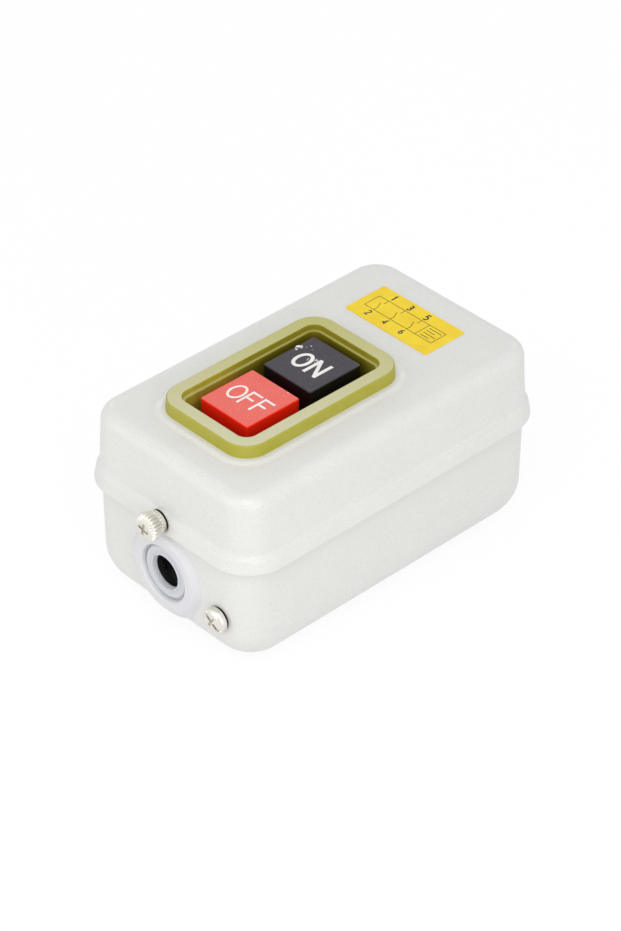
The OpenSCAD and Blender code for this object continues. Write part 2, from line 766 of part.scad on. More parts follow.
// Flat strip from a fixed contact out to its terminal screw
module contact_strip(i, y_contact, y_terminal) {
    far = y_terminal + sign(y_terminal - y_contact) * clamp_w / 2;
    near = y_contact - sign(y_terminal - y_contact) * strip_w / 3;
    color(brass) difference() {
        translate([pole_x(i) - strip_w / 2, min(far, near), slab_z])
            cube([strip_w, abs(far - near), strip_t]);
        translate([pole_x(i), y_terminal, slab_z - over])
            cylinder(d = clamp_hole, h = strip_t + 2 * over);
    }
}
module line_contact(i) { contact_strip(i, on_y + break_half, line_y); }
module load_contact(i) { contact_strip(i, on_y - break_half, load_y); }
module line_contact_left() { line_contact(0); }
module line_contact_middle() { line_contact(1); }
module line_contact_right() { line_contact(2); }
module load_contact_left() { load_contact(0); }
module load_contact_middle() { load_contact(1); }
module load_contact_right() { load_contact(2); }

// One silver tip for each end of each pole, its foot at height z
module tips(z) {
    color(silver) for (i = [0:2], s = [-1, 1])
        translate([pole_x(i), on_y + s * break_half, z]) cylinder(d = tip_d, h = tip_h);
}
module bridge_tips() { tips(bridge_z - tip_h); }
module fixed_tips() { tips(slab_z + strip_t); }

module terminal_clamps() {
    color(nickel) for (i = [0:2], y = [line_y, load_y])
        translate([pole_x(i), y, slab_z + strip_t]) difference() {
            translate([-clamp_w / 2, -clamp_w / 2, 0]) cube([clamp_w, clamp_w, clamp_t]);
            translate([0, 0, -over]) cylinder(d = clamp_hole, h = clamp_t + 2 * over);
        }
}

module terminal_screws() {
    color(nickel) for (i = [0:2], y = [line_y, load_y]) translate([pole_x(i), y, 0]) {
        translate([0, 0, slab_z + strip_t + clamp_t]) pan_head(terminal_head_d, terminal_head_h);
        translate([0, 0, slab_z - terminal_l + screw_end_gap])
            cylinder(d = terminal_d, h = terminal_l + strip_t + clamp_t - screw_end_gap);
    }
}

// Return spring between the deck and the underside of a button
module return_spring(y) {
    color(steel) translate([0, y, deck_z + deck_t + spring_gap])
        spring(return_d, button_z - cap_roof - deck_z - deck_t - 2 * spring_gap, return_turns,
            wire_d);
}
module on_return_spring() { return_spring(on_y); }
module off_return_spring() { return_spring(off_y); }

module latch_lever() {
    hook_reach = on_y - plunger_d / 2 - catch_out - slack - pivot_y;
    arm_end = lever_reach + nose_d / 2 + arm_over;
    boss = 5;
    color(brass) difference() {
        union() {
            translate([-lever_w / 2, pivot_y, pivot_z]) rotate([0, 90, 0])
                cylinder(d = boss, h = lever_w);
            translate([-lever_w / 2, pivot_y - arm_end, pivot_z])
                cube([lever_w, arm_end, arm_t]);
            translate([-lever_w / 2, pivot_y - arm_t / 2, pivot_z])
                cube([lever_w, arm_t, hook_z + hook_h - pivot_z]);
            translate([-lever_w / 2, pivot_y - arm_t / 2, hook_z])
                cube([lever_w, hook_reach + arm_t / 2, hook_h]);
        }
        translate([-lever_w, pivot_y, pivot_z]) rotate([0, 90, 0])
            cylinder(d = pin_d + 2 * run_fit, h = 2 * lever_w);
    }
}

module latch_pin() {
    pin_l = lever_w + 2 * (lug_t + 2 * slack);
    color(steel) translate([-pin_l / 2, pivot_y, pivot_z]) rotate([0, 90, 0])
        cylinder(d = pin_d, h = pin_l);
}

module latch_spring() {
    color(steel) translate([0, off_y, shelf_z + shelf_t + spring_gap])
        spring(small_spring_d, pivot_z - shelf_z - shelf_t - 2 * spring_gap, latch_turns,
            small_wire_d);
}

base_box();
cover();
bezel_frame();
rating_label();
off_button();
on_button();
front_thumb_screw();
rear_thumb_screw();
front_grommet();
rear_grommet();
earth_screw();
earth_washer();
switch_block();
block_screws();
guide_housing();
housing_screws();
contact_carrier();
off_plunger();
contact_bridge_left();
contact_bridge_middle();
contact_bridge_right();
contact_spring_left();
contact_spring_middle();
contact_spring_right();
line_contact_left();
line_contact_middle();
line_contact_right();
load_contact_left();
load_contact_middle();
load_contact_right();
bridge_tips();
fixed_tips();
terminal_screws();
terminal_clamps();
on_return_spring();
off_return_spring();
latch_lever();
latch_pin();
latch_spring();
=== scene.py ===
# Pushbutton control station on a pale studio floor: an enamelled cast case, an olive frame and
# its red and black buttons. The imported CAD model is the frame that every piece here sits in.
# Sizes are in millimetres and angles in degrees, unless a note says otherwise.
import bpy
import bmesh
import json
import math
import random
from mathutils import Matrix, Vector


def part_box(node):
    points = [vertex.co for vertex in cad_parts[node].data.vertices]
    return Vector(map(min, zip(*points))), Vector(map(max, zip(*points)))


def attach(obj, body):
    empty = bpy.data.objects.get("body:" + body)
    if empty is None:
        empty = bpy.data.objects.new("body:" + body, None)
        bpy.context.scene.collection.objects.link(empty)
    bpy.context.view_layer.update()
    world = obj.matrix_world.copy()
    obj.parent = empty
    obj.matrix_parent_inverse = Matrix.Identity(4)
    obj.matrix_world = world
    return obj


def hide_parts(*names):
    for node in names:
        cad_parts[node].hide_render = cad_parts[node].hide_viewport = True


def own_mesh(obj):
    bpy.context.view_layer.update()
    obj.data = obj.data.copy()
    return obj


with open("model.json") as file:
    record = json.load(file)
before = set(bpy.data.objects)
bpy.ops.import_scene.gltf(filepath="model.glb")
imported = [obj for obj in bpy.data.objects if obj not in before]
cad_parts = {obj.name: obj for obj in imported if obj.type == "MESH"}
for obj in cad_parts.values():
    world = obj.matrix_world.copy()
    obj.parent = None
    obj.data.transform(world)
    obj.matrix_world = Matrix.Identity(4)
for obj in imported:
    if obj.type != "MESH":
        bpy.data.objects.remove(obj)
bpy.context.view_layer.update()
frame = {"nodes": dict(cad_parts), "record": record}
nodes = frame["nodes"]
scene = bpy.context.scene
mm = 0.001
weldGap = 1e-7  # metres
leastCorner = 0.01
print("frame loaded,", len(nodes), "nodes")


def inMm(nodeName):
    low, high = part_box(nodeName)
    return low / mm, high / mm


# Small helpers for meshes, all in millimetres until the mesh is made
def roundedLoop(halfX, halfY, radius, z, midX=0.0, midY=0.0, perCorner=14, perSide=12):
    # A rounded rectangle, drawn anticlockwise, with the same count of points for every size
    radius = max(leastCorner, min(radius, halfX, halfY))
    cornerX, cornerY = halfX - radius, halfY - radius
    corners = [(cornerX, cornerY, 0), (-cornerX, cornerY, 90),
               (-cornerX, -cornerY, 180), (cornerX, -cornerY, 270)]
    points = []
    for i, (cx, cy, startAngle) in enumerate(corners):
        for k in range(perCorner + 1):
            angle = math.radians(startAngle + 90 * k / perCorner)
            points.append((midX + cx + radius * math.cos(angle), midY + cy + radius * math.sin(angle), z))
        lastX, lastY = points[-1][:2]
        nextX, nextY, nextAngle = corners[(i + 1) % 4]
        firstX = midX + nextX + radius * math.cos(math.radians(nextAngle))
        firstY = midY + nextY + radius * math.sin(math.radians(nextAngle))
        for k in range(1, perSide):
            t = k / perSide
            points.append((lastX + (firstX - lastX) * t, lastY + (firstY - lastY) * t, z))
    return points


def arc(cx, cy, radius, startAngle, endAngle, steps):
    # Points of an arc as (across, along) pairs, ends included
    points = []
    for i in range(steps + 1):
        angle = math.radians(startAngle + (endAngle - startAngle) * i / steps)
        points.append((cx + radius * math.cos(angle), cy + radius * math.sin(angle)))
    return points


def ringsAlongY(profile, x, z, steps, sign=1):
    # One circle for each (radius, y) pair, about a line along Y
    turns = [2 * math.pi * k / steps for k in range(steps)]
    return [[(x + r * math.cos(t), sign * y, z + r * math.sin(t)) for t in turns] for r, y in profile]


def loft(loops, closed=False, capFirst=False, capLast=False):
    # Joins loops of equal length with quads
    count = len(loops[0])
    verts = [p for loop in loops for p in loop]
    faces = []
    spans = len(loops) if closed else len(loops) - 1
    for i in range(spans):
        a, b = i * count, ((i + 1) % len(loops)) * count
        for k in range(count):
            n = (k + 1) % count
            faces.append((a + k, a + n, b + n, b + k))
    if capFirst:
        faces.append(tuple(range(count - 1, -1, -1)))
    if capLast:
        start = (len(loops) - 1) * count
        faces.append(tuple(range(start, start + count)))
    return verts, faces


def lathe(profile, centre, axis, steps=64, ridges=0, ridgeDepth=None, ridgePower=1.7):
    # Turns (radius, height) pairs about an axis of length one along X, Y or Z. Grooves cut between
    # the ridges are ridgeDepth deep, pair by pair, and a higher ridgePower makes them narrower
    axis, centre = Vector(axis), Vector(centre)
    side = axis.cross(Vector((0, -1, 0)) if axis.z == 1 else Vector((0, 0, 1)))
    up = side.cross(axis)
    verts, rings = [], []
    for i, (radius, height) in enumerate(profile):
        middle = centre + axis * height
        if radius == 0:
            rings.append([len(verts)] * steps)
            verts.append(middle)
            continue
        depth = ridgeDepth[i] if ridgeDepth else 0.0
        ring = []
        for k in range(steps):
            angle = 2 * math.pi * k / steps
            cut = depth * (0.5 + 0.5 * math.cos(ridges * angle)) ** ridgePower
            r = radius - cut
            ring.append(len(verts))
            verts.append(middle + side * (r * math.cos(angle)) + up * (r * math.sin(angle)))
        rings.append(ring)
    faces = []
    for a, b in zip(rings, rings[1:]):
        for k in range(steps):
            n = (k + 1) % steps
            faces.append(tuple(dict.fromkeys([a[k], a[n], b[n], b[k]])))
    return [tuple(v) for v in verts], [f for f in faces if len(f) > 2]


def blockAt(low, high):
    x0, y0, z0 = low
    x1, y1, z1 = high
    verts = [(x, y, z) for z in (z0, z1) for y in (y0, y1) for x in (x0, x1)]
    faces = [(0, 2, 3, 1), (4, 5, 7, 6), (0, 1, 5, 4), (2, 6, 7, 3), (0, 4, 6, 2), (1, 3, 7, 5)]
    return verts, faces


def holeAlongY(x, z, radius, y0, y1, steps=48):
    return lathe([(0, 0), (radius, 0), (radius, y1 - y0), (0, y1 - y0)], (x, y0, z), (0, 1, 0), steps)


def holeAlongZ(x, y, radius, z0, z1, steps=48):
    turns = [2 * math.pi * k / steps for k in range(steps)]
    return loft([[(x + radius * math.cos(t), y + radius * math.sin(t), z) for t in turns]
                 for z in (z0, z1)], capFirst=True, capLast=True)


def together(*shapes):
    verts, faces = [], []
    for shapeVerts, shapeFaces in shapes:
        start = len(verts)
        verts += list(shapeVerts)
        faces += [tuple(start + i for i in face) for face in shapeFaces]
    return verts, faces


def meshOf(name, shape):
    verts, faces = shape
    mesh = bpy.data.meshes.new(name)
    mesh.from_pydata([Vector(v) * mm for v in verts], [], faces)
    shell = bmesh.new()
    shell.from_mesh(mesh)
    bmesh.ops.remove_doubles(shell, verts=shell.verts, dist=weldGap)
    bmesh.ops.recalc_face_normals(shell, faces=shell.faces)
    shell.to_mesh(mesh)
    shell.free()
    return mesh


def carved(name, shape, cutters):
    # Cuts each closed cutter out of a closed shape with the exact boolean
    body = bpy.data.objects.new(name, meshOf(name, shape))
    scene.collection.objects.link(body)
    tools = []
    for i, cutter in enumerate(cutters):
        tool = bpy.data.objects.new(f"{name}Cutter{i}", meshOf(f"{name}Cutter{i}", cutter))
        scene.collection.objects.link(tool)
        tools.append(tool)
        cut = body.modifiers.new("cut", "BOOLEAN")
        cut.operation = "DIFFERENCE"
        cut.solver = "EXACT"
        cut.object = tool
    result = bpy.data.meshes.new_from_object(body.evaluated_get(bpy.context.evaluated_depsgraph_get()))
    bpy.data.objects.remove(body)
    for tool in tools:
        bpy.data.objects.remove(tool)
    return result


def addPiece(name, shape, material, body, replaced=(), sharpAngle=32):
    mesh = shape if isinstance(shape, bpy.types.Mesh) else meshOf(name, shape)
    mesh.name = name
    mesh.materials.clear()
    mesh.materials.append(material)
    mesh.polygons.foreach_set("use_smooth", [True] * len(mesh.polygons))
    mesh.polygons.foreach_set("material_index", [0] * len(mesh.polygons))
    mesh.set_sharp_from_angle(angle=math.radians(sharpAngle))
    piece = bpy.data.objects.new(name, mesh)
    scene.collection.objects.link(piece)
    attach(piece, body)
    if replaced:
        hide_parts(*replaced)
    return piece


# Colours are written as they look on screen and turned to linear here
def colour(text):
    values = [int(text[i:i + 2], 16) / 255 for i in (1, 3, 5)]
    linear = [v / 12.92 if v <= 0.04045 else ((v + 0.055) / 1.055) ** 2.4 for v in values]
    return (*linear, 1.0)


def addNode(tree, kind, inputs=None, **settings):
    # Adds a node with its settings. Each input is a value, or a socket to link
    node = tree.nodes.new(kind)
    for key, value in settings.items():
        setattr(node, key, value)
    for key, value in (inputs or {}).items():
        if isinstance(value, bpy.types.NodeSocket):
            tree.links.new(value, node.inputs[key])
        else:
            node.inputs[key].default_value = value
    return node


def newMaterial(name):
    material = bpy.data.materials.new(name)
    material.use_nodes = True
    tree = material.node_tree
    tree.nodes.clear()
    shader = addNode(tree, "ShaderNodeBsdfPrincipled")
    addNode(tree, "ShaderNodeOutputMaterial", {"Surface": shader.outputs["BSDF"]})
    place = addNode(tree, "ShaderNodeTexCoord").outputs["Object"]
    return material, tree, shader, place


def perMm(size):
    # Scale of a noise whose grains are this many millimetres across
    return 1 / (size * mm)


# Stoved enamel on a zinc die casting: satin, with the soft orange peel of a sprayed and baked coat.
# Real dust in the film is finer than 0.42 mm; it is drawn that coarse so that it shows
enamel = {"colour": "#E3E3E0", "cool": "#E0E0DD", "warm": "#E4E4E1", "fleck": "#D2D2CE",
          "roughness": 0.42, "coat": 0.25, "coatRoughness": 0.16, "cloudMm": 9.0,
          "peelMm": 1.6, "peelDepth": 0.014, "dustMm": 0.42, "dustDepth": 0.006, "tintShare": 0.6}


def stovedEnamel(name, tint=None):
    material, tree, shader, place = newMaterial(name)
    cloud = addNode(tree, "ShaderNodeTexNoise", {"Vector": place, "Scale": perMm(enamel["cloudMm"]),
                                                 "Detail": 3.0})
    peel = addNode(tree, "ShaderNodeTexNoise", {"Vector": place, "Scale": perMm(enamel["peelMm"])})
    dust = addNode(tree, "ShaderNodeTexNoise", {"Vector": place, "Scale": perMm(enamel["dustMm"]),
                                                "Detail": 1.0})
    drift = addNode(tree, "ShaderNodeMapRange", {"Value": cloud.outputs["Fac"], "From Min": 0.35,
                                                 "From Max": 0.65})
    film = addNode(tree, "ShaderNodeMapRange", {"Value": peel.outputs["Fac"], "From Min": 0.3,
                                                "From Max": 0.7, "To Max": 0.85})
    specks = addNode(tree, "ShaderNodeMapRange", {"Value": dust.outputs["Fac"], "From Min": 0.3,
                                                  "From Max": 0.5, "To Min": 0.5, "To Max": 0.0})
    base = addNode(tree, "ShaderNodeMix", {0: drift.outputs["Result"], 6: colour(enamel["cool"]),
                                           7: colour(enamel["warm"])}, data_type="RGBA").outputs[2]
    base = addNode(tree, "ShaderNodeMix", {0: film.outputs["Result"], 6: base,
                                           7: colour(enamel["colour"])}, data_type="RGBA").outputs[2]
    base = addNode(tree, "ShaderNodeMix", {0: specks.outputs["Result"], 6: base,
                                           7: colour(enamel["fleck"])}, data_type="RGBA").outputs[2]
    if tint:
        base = addNode(tree, "ShaderNodeMix", {0: enamel["tintShare"], 6: base, 7: colour(tint)},
                       data_type="RGBA").outputs[2]
    polish = addNode(tree, "ShaderNodeMapRange", {"Value": cloud.outputs["Fac"], "From Min": 0.3,
                                                  "From Max": 0.7, "To Min": enamel["roughness"] - 0.04,
                                                  "To Max": enamel["roughness"] + 0.05})
    skin = addNode(tree, "ShaderNodeBump", {"Height": peel.outputs["Fac"],
                                            "Distance": enamel["peelDepth"] * mm})
    skin = addNode(tree, "ShaderNodeBump", {"Height": dust.outputs["Fac"],
                                            "Distance": enamel["dustDepth"] * mm,
                                            "Normal": skin.outputs["Normal"]})
    tree.links.new(base, shader.inputs["Base Color"])
    tree.links.new(polish.outputs["Result"], shader.inputs["Roughness"])
    tree.links.new(skin.outputs["Normal"], shader.inputs["Normal"])
    shader.inputs["IOR"].default_value = 1.5
    shader.inputs["Coat Weight"].default_value = enamel["coat"]
    shader.inputs["Coat Roughness"].default_value = enamel["coatRoughness"]
    return material


# ABS, injection moulded: satin sides, and a finely speckled top face painted paler, as painted sheen
# standing in for the sky's reflection.
# The spark texture's grain is drawn coarser than the real one, so that it shows
absIor = 1.53
redFinish = {"side": "#FF2209", "top": "#E96459", "fleck": "#F28C82", "roughness": 0.42,
             "grainMm": 0.3, "grainDepth": 0.012, "patchMm": 5.0}
blackFinish = {"side": "#131113", "top": "#302A34", "fleck": "#524C58", "roughness": 0.4,
               "grainMm": 0.3, "grainDepth": 0.012, "patchMm": 5.0}


def texturedAbs(name, finish):
    material, tree, shader, place = newMaterial(name)
    lie = addNode(tree, "ShaderNodeNewGeometry").outputs["True Normal"]
    parts = addNode(tree, "ShaderNodeSeparateXYZ", {"Vector": lie})
    upward = addNode(tree, "ShaderNodeMapRange", {"Value": parts.outputs["Z"], "From Min": 0.9,
                                                  "From Max": 0.99})
    speck = addNode(tree, "ShaderNodeTexNoise", {"Vector": place, "Scale": perMm(finish["grainMm"]),
                                                 "Roughness": 0.7})
    broad = addNode(tree, "ShaderNodeTexNoise", {"Vector": place, "Scale": perMm(finish["patchMm"])})
    bloom = addNode(tree, "ShaderNodeMapRange", {"Value": speck.outputs["Fac"], "From Min": 0.42,
                                                 "From Max": 0.68, "To Max": 0.55})
    rubbed = addNode(tree, "ShaderNodeMapRange", {"Value": broad.outputs["Fac"], "From Min": 0.35,
                                                  "From Max": 0.7, "To Max": 0.12})
    top = addNode(tree, "ShaderNodeMix", {0: bloom.outputs["Result"], 6: colour(finish["top"]),
                                          7: colour(finish["fleck"])}, data_type="RGBA").outputs[2]
    top = addNode(tree, "ShaderNodeMix", {0: rubbed.outputs["Result"], 6: top,
                                          7: colour(finish["side"])}, data_type="RGBA").outputs[2]
    # Upward faces take the paler top colour: painted sheen
    base = addNode(tree, "ShaderNodeMix", {0: upward.outputs["Result"], 6: colour(finish["side"]),
                                           7: top}, data_type="RGBA").outputs[2]
    polish = addNode(tree, "ShaderNodeMapRange", {"Value": upward.outputs["Result"],
                                                  "To Min": finish["roughness"] - 0.08,
                                                  "To Max": finish["roughness"] + 0.18})
    spark = addNode(tree, "ShaderNodeBump", {"Height": speck.outputs["Fac"],
                                             "Distance": finish["grainDepth"] * mm})
    tree.links.new(base, shader.inputs["Base Color"])
    tree.links.new(polish.outputs["Result"], shader.inputs["Roughness"])
    tree.links.new(spark.outputs["Normal"], shader.inputs["Normal"])
    shader.inputs["IOR"].default_value = absIor
    return material


# The olive frame's ABS: its spark-textured flat rim is painted paler than its sides, as painted sheen, and
# its stepped well darker, as painted shade. rimFade, deepShadeFade and footShadeFade are depths below the
# frame's top. inwardShadeFade is how far a face looks back at the frame's middle, and farShadeFade and
# paintedSheenFade lie along towardNearRight, to the near right
frameFinish = {"side": "#A9A326", "rim": "#BEBB70", "worn": "#D2D0B0", "well": "#938815",
               "foot": "#6E650A", "roughness": 0.5, "grainMm": 0.28, "grainDepth": 0.012, "patchMm": 4.0,
               "rimFade": (2.8, 1.0), "deepShadeFade": (3.5, 1.4), "footShadeFade": (4.9, 3.9),
               "inwardShadeFade": (-4.0, -1.0), "farShadeFade": (-4.0, 4.0), "paintedSheenFade": (-30.0, 35.0),
               "towardNearRight": (1.0, -0.8, 0.0)}


def oliveAbs():
    material, tree, shader, place = newMaterial("olive ABS, moulded, with painted shade and sheen")
    low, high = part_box("bezel_frame")
    middle = tuple((low + high) / 2)
    rimFade, deepShadeFade, footShadeFade = ([high.z - depth * mm for depth in frameFinish[fade]]
                                   for fade in ("rimFade", "deepShadeFade", "footShadeFade"))
    inwardShadeFade, farShadeFade, paintedSheenFade = ([reach * mm for reach in frameFinish[fade]]
                                     for fade in ("inwardShadeFade", "farShadeFade", "paintedSheenFade"))
    lie = addNode(tree, "ShaderNodeNewGeometry").outputs["True Normal"]
    parts = addNode(tree, "ShaderNodeSeparateXYZ", {"Vector": lie})
    upward = addNode(tree, "ShaderNodeMapRange", {"Value": parts.outputs["Z"], "From Min": 0.85,
                                                  "From Max": 0.99})
    height = addNode(tree, "ShaderNodeSeparateXYZ", {"Vector": place}).outputs["Z"]
    # Painted shade: the far walls of the well are darker, and darkest at their foot
    reach = addNode(tree, "ShaderNodeVectorMath", {0: place, 1: middle}, operation="SUBTRACT")
    outward = addNode(tree, "ShaderNodeVectorMath", {0: reach.outputs[0], 1: lie},
                      operation="DOT_PRODUCT")
    inward = addNode(tree, "ShaderNodeMapRange", {"Value": outward.outputs["Value"],
                                                  "From Min": inwardShadeFade[0], "From Max": inwardShadeFade[1],
                                                  "To Min": 1.0, "To Max": 0.0})
    nearRightReach = addNode(tree, "ShaderNodeVectorMath", {0: place, 1: frameFinish["towardNearRight"]},
                      operation="DOT_PRODUCT")
    farWallShade = addNode(tree, "ShaderNodeMapRange", {"Value": nearRightReach.outputs["Value"],
                                                   "From Min": farShadeFade[0], "From Max": farShadeFade[1],
                                                   "To Min": 1.0, "To Max": 0.0})
    shaded = addNode(tree, "ShaderNodeMath", {0: inward.outputs["Result"], 1: farWallShade.outputs["Result"]},
                     operation="MULTIPLY")
    lowDown = addNode(tree, "ShaderNodeMapRange", {"Value": height, "From Min": rimFade[0],
                                                   "From Max": rimFade[1]})
    deepShade = addNode(tree, "ShaderNodeMapRange", {"Value": height, "From Min": deepShadeFade[0],
                                                "From Max": deepShadeFade[1], "To Min": 1.0, "To Max": 0.0})
    # Painted shade: the outside darkens along its foot, where it meets the cover
    base = addNode(tree, "ShaderNodeMapRange", {"Value": height, "From Min": footShadeFade[0],
                                                "From Max": footShadeFade[1], "To Min": 0.4, "To Max": 0.0})
    speck = addNode(tree, "ShaderNodeTexNoise", {"Vector": place, "Roughness": 0.6,
                                                 "Scale": perMm(frameFinish["grainMm"])})
    broad = addNode(tree, "ShaderNodeTexNoise", {"Vector": place,
                                                 "Scale": perMm(frameFinish["patchMm"])})
    patchy = addNode(tree, "ShaderNodeMapRange", {"Value": broad.outputs["Fac"], "From Min": 0.3,
                                                  "From Max": 0.7, "To Max": 0.2})
    # Painted sheen: the flat rim is palest at the near right
    worn = addNode(tree, "ShaderNodeMapRange", {"Value": nearRightReach.outputs["Value"],
                                                "From Min": paintedSheenFade[0], "From Max": paintedSheenFade[1]})
    pits = addNode(tree, "ShaderNodeMapRange", {"Value": speck.outputs["Fac"], "From Min": 0.35,
                                                "From Max": 0.7, "To Max": 0.3})
    side = addNode(tree, "ShaderNodeMix", {0: patchy.outputs["Result"], 6: colour(frameFinish["side"]),
                                           7: colour(frameFinish["rim"])}, data_type="RGBA").outputs[2]
    rim = addNode(tree, "ShaderNodeMix", {0: worn.outputs["Result"], 6: colour(frameFinish["rim"]),
                                          7: colour(frameFinish["worn"])}, data_type="RGBA").outputs[2]
    rim = addNode(tree, "ShaderNodeMix", {0: pits.outputs["Result"], 6: rim,
                                          7: colour(frameFinish["side"])}, data_type="RGBA").outputs[2]
    rim = addNode(tree, "ShaderNodeMix", {0: lowDown.outputs["Result"], 6: side, 7: rim},
                  data_type="RGBA").outputs[2]
    side = addNode(tree, "ShaderNodeMix", {0: base.outputs["Result"], 6: side,
                                           7: colour(frameFinish["foot"])}, data_type="RGBA").outputs[2]
    well = addNode(tree, "ShaderNodeMix", {0: deepShade.outputs["Result"], 6: colour(frameFinish["well"]),
                                           7: colour(frameFinish["foot"])}, data_type="RGBA").outputs[2]
    wall = addNode(tree, "ShaderNodeMix", {0: shaded.outputs[0], 6: side, 7: well},
                   data_type="RGBA").outputs[2]
    # Upward faces take the paler rim colour: painted sheen
    whole = addNode(tree, "ShaderNodeMix", {0: upward.outputs["Result"], 6: wall, 7: rim},
                    data_type="RGBA").outputs[2]
    spark = addNode(tree, "ShaderNodeBump", {"Height": speck.outputs["Fac"],
                                             "Distance": frameFinish["grainDepth"] * mm})
    tree.links.new(whole, shader.inputs["Base Color"])
    tree.links.new(spark.outputs["Normal"], shader.inputs["Normal"])
    shader.inputs["Roughness"].default_value = frameFinish["roughness"]
    shader.inputs["IOR"].default_value = absIor
    return material


def plainFinish(name, tint, roughness, second, metallic=0.0, ior=1.5, grainMm=0.4, grainDepth=0.004,
                broadMm=6.0, waxy=0.0, waxDepth=1.5):
    # A moulded, plated or rolled surface: two close tints, a varying polish and a fine grain
    material, tree, shader, place = newMaterial(name)
    broad = addNode(tree, "ShaderNodeTexNoise", {"Vector": place, "Scale": perMm(broadMm), "Detail": 3.0})
    fine = addNode(tree, "ShaderNodeTexNoise", {"Vector": place, "Scale": perMm(grainMm)})
    drift = addNode(tree, "ShaderNodeMapRange", {"Value": broad.outputs["Fac"], "From Min": 0.35,
                                                 "From Max": 0.65})
    base = addNode(tree, "ShaderNodeMix", {0: drift.outputs["Result"], 6: colour(tint),
                                           7: colour(second)}, data_type="RGBA").outputs[2]
    polish = addNode(tree, "ShaderNodeMapRange", {"Value": broad.outputs["Fac"], "From Min": 0.3,
                                                  "From Max": 0.7, "To Min": roughness - 0.06,
                                                  "To Max": roughness + 0.06})
    skin = addNode(tree, "ShaderNodeBump", {"Height": fine.outputs["Fac"], "Distance": grainDepth * mm})
    tree.links.new(base, shader.inputs["Base Color"])
    tree.links.new(polish.outputs["Result"], shader.inputs["Roughness"])
    tree.links.new(skin.outputs["Normal"], shader.inputs["Normal"])
    shader.inputs["Metallic"].default_value = metallic
    if not metallic:
        shader.inputs["IOR"].default_value = ior
    if waxy:
        shader.inputs["Subsurface Weight"].default_value = waxy
        shader.inputs["Subsurface Radius"].default_value = (1.0, 1.0, 1.0)
        shader.inputs["Subsurface Scale"].default_value = waxDepth * mm
    return material


materials = {
    "case_paint": stovedEnamel("stoved enamel on die-cast zinc"),
    "frame_plastic": oliveAbs(),
    "button_red": texturedAbs("red ABS, moulded, worn top", redFinish),
    "button_black": texturedAbs("black ABS, moulded, worn top", blackFinish),
    # Printed sheet: a flat, saturated yellow under a thin matt lacquer
    "label_yellow": plainFinish("yellow printed sheet, lacquered", "#FADB00", 0.42, "#F4D000",
                                grainMm=0.5, grainDepth=0.003),
    # Bright nickel over steel: a warm white metal, softened by barrel plating
    "bright_nickel": plainFinish("bright nickel plate", "#E2DFD6", 0.37, "#E8E6E0", metallic=1.0,
                                 grainMm=0.3, grainDepth=0.006, broadMm=2.0),
    # Polypropylene: cool white, waxy and a little soft
    "grommet_white": plainFinish("white polypropylene, moulded", "#D1D3D9", 0.45, "#D7D8DE", waxy=0.5),
    # Zinc plate: a flat blue grey, duller than the nickel
    "zinc_steel": plainFinish("zinc-plated steel", "#B9BCBE", 0.32, "#C9CBCC", metallic=1.0,
                              broadMm=3.0),
    # Pressed resins: dense and even, with a dull polish from the mould
    "black_moulding": plainFinish("phenolic resin, pressed", "#1B1B1D", 0.42, "#232326"),
    "brown_moulding": plainFinish("urea resin, pressed", "#6E3320", 0.45, "#7A3B26"),
    # Silver: the whitest metal inside, clouded where it has carried current
    "contact_silver": plainFinish("silver contact rivet", "#DCDAD6", 0.25, "#C9C6C0", metallic=1.0,
                                  broadMm=1.5),
    # Drawn wire: an even grey with a long, narrow gleam
    "spring_steel": plainFinish("drawn spring wire", "#A9A8A6", 0.3, "#B9B8B6", metallic=1.0,
                                broadMm=2.0),
    # Yellow zinc plate: straw with a patchy tarnish
    "latch_steel": plainFinish("pressed steel, yellow zinc plate", "#B7A66F", 0.33, "#A99C80",
                               metallic=1.0, broadMm=3.0),
    # Rolled brass: a warm gleam, slightly browned
    "contact_brass": plainFinish("rolled brass strip", "#C9A04E", 0.28, "#BD9A58", metallic=1.0,
                                 broadMm=4.0),
}
# Screen ink: an opaque matt white, and a black print on the yellow sheet
whiteInk = plainFinish("white screen ink", "#F6F4F2", 0.5, "#ECE8E6", grainMm=0.25)
blackInk = plainFinish("black screen ink", "#17150A", 0.5, "#221F10", grainMm=0.25)
# The same enamel over the machined boss, where it dries cooler and paler
bossEnamel = stovedEnamel("stoved enamel over the machined boss", "#DADAE0")
# The same enamel, a little darker on the screw pads: painted shade, so that the upward-facing pads look no
# brighter than the wall round them
padShadeEnamel = stovedEnamel("stoved enamel, darkened on the screw pad as painted shade", "#CFCFCA")
# Near-black steel: painted shade, standing in for the dark gap under the screw heads
shadeBlackSteel = plainFinish("steel painted near-black as shade", "#16130F", 0.5, "#211B14", metallic=1.0)
# Near-black: painted shade, standing in for the unlit bore behind the white lip
boreShadeBlack = plainFinish("near-black sleeve painted as bore shade", "#0B0B0B", 0.8, "#111111")

for record in frame["record"]["subparts"]:
    node = nodes[record["node"]]
    node.data.materials.clear()
    node.data.materials.append(materials[record["material_slot"]])
print("materials made:", len(bpy.data.materials))

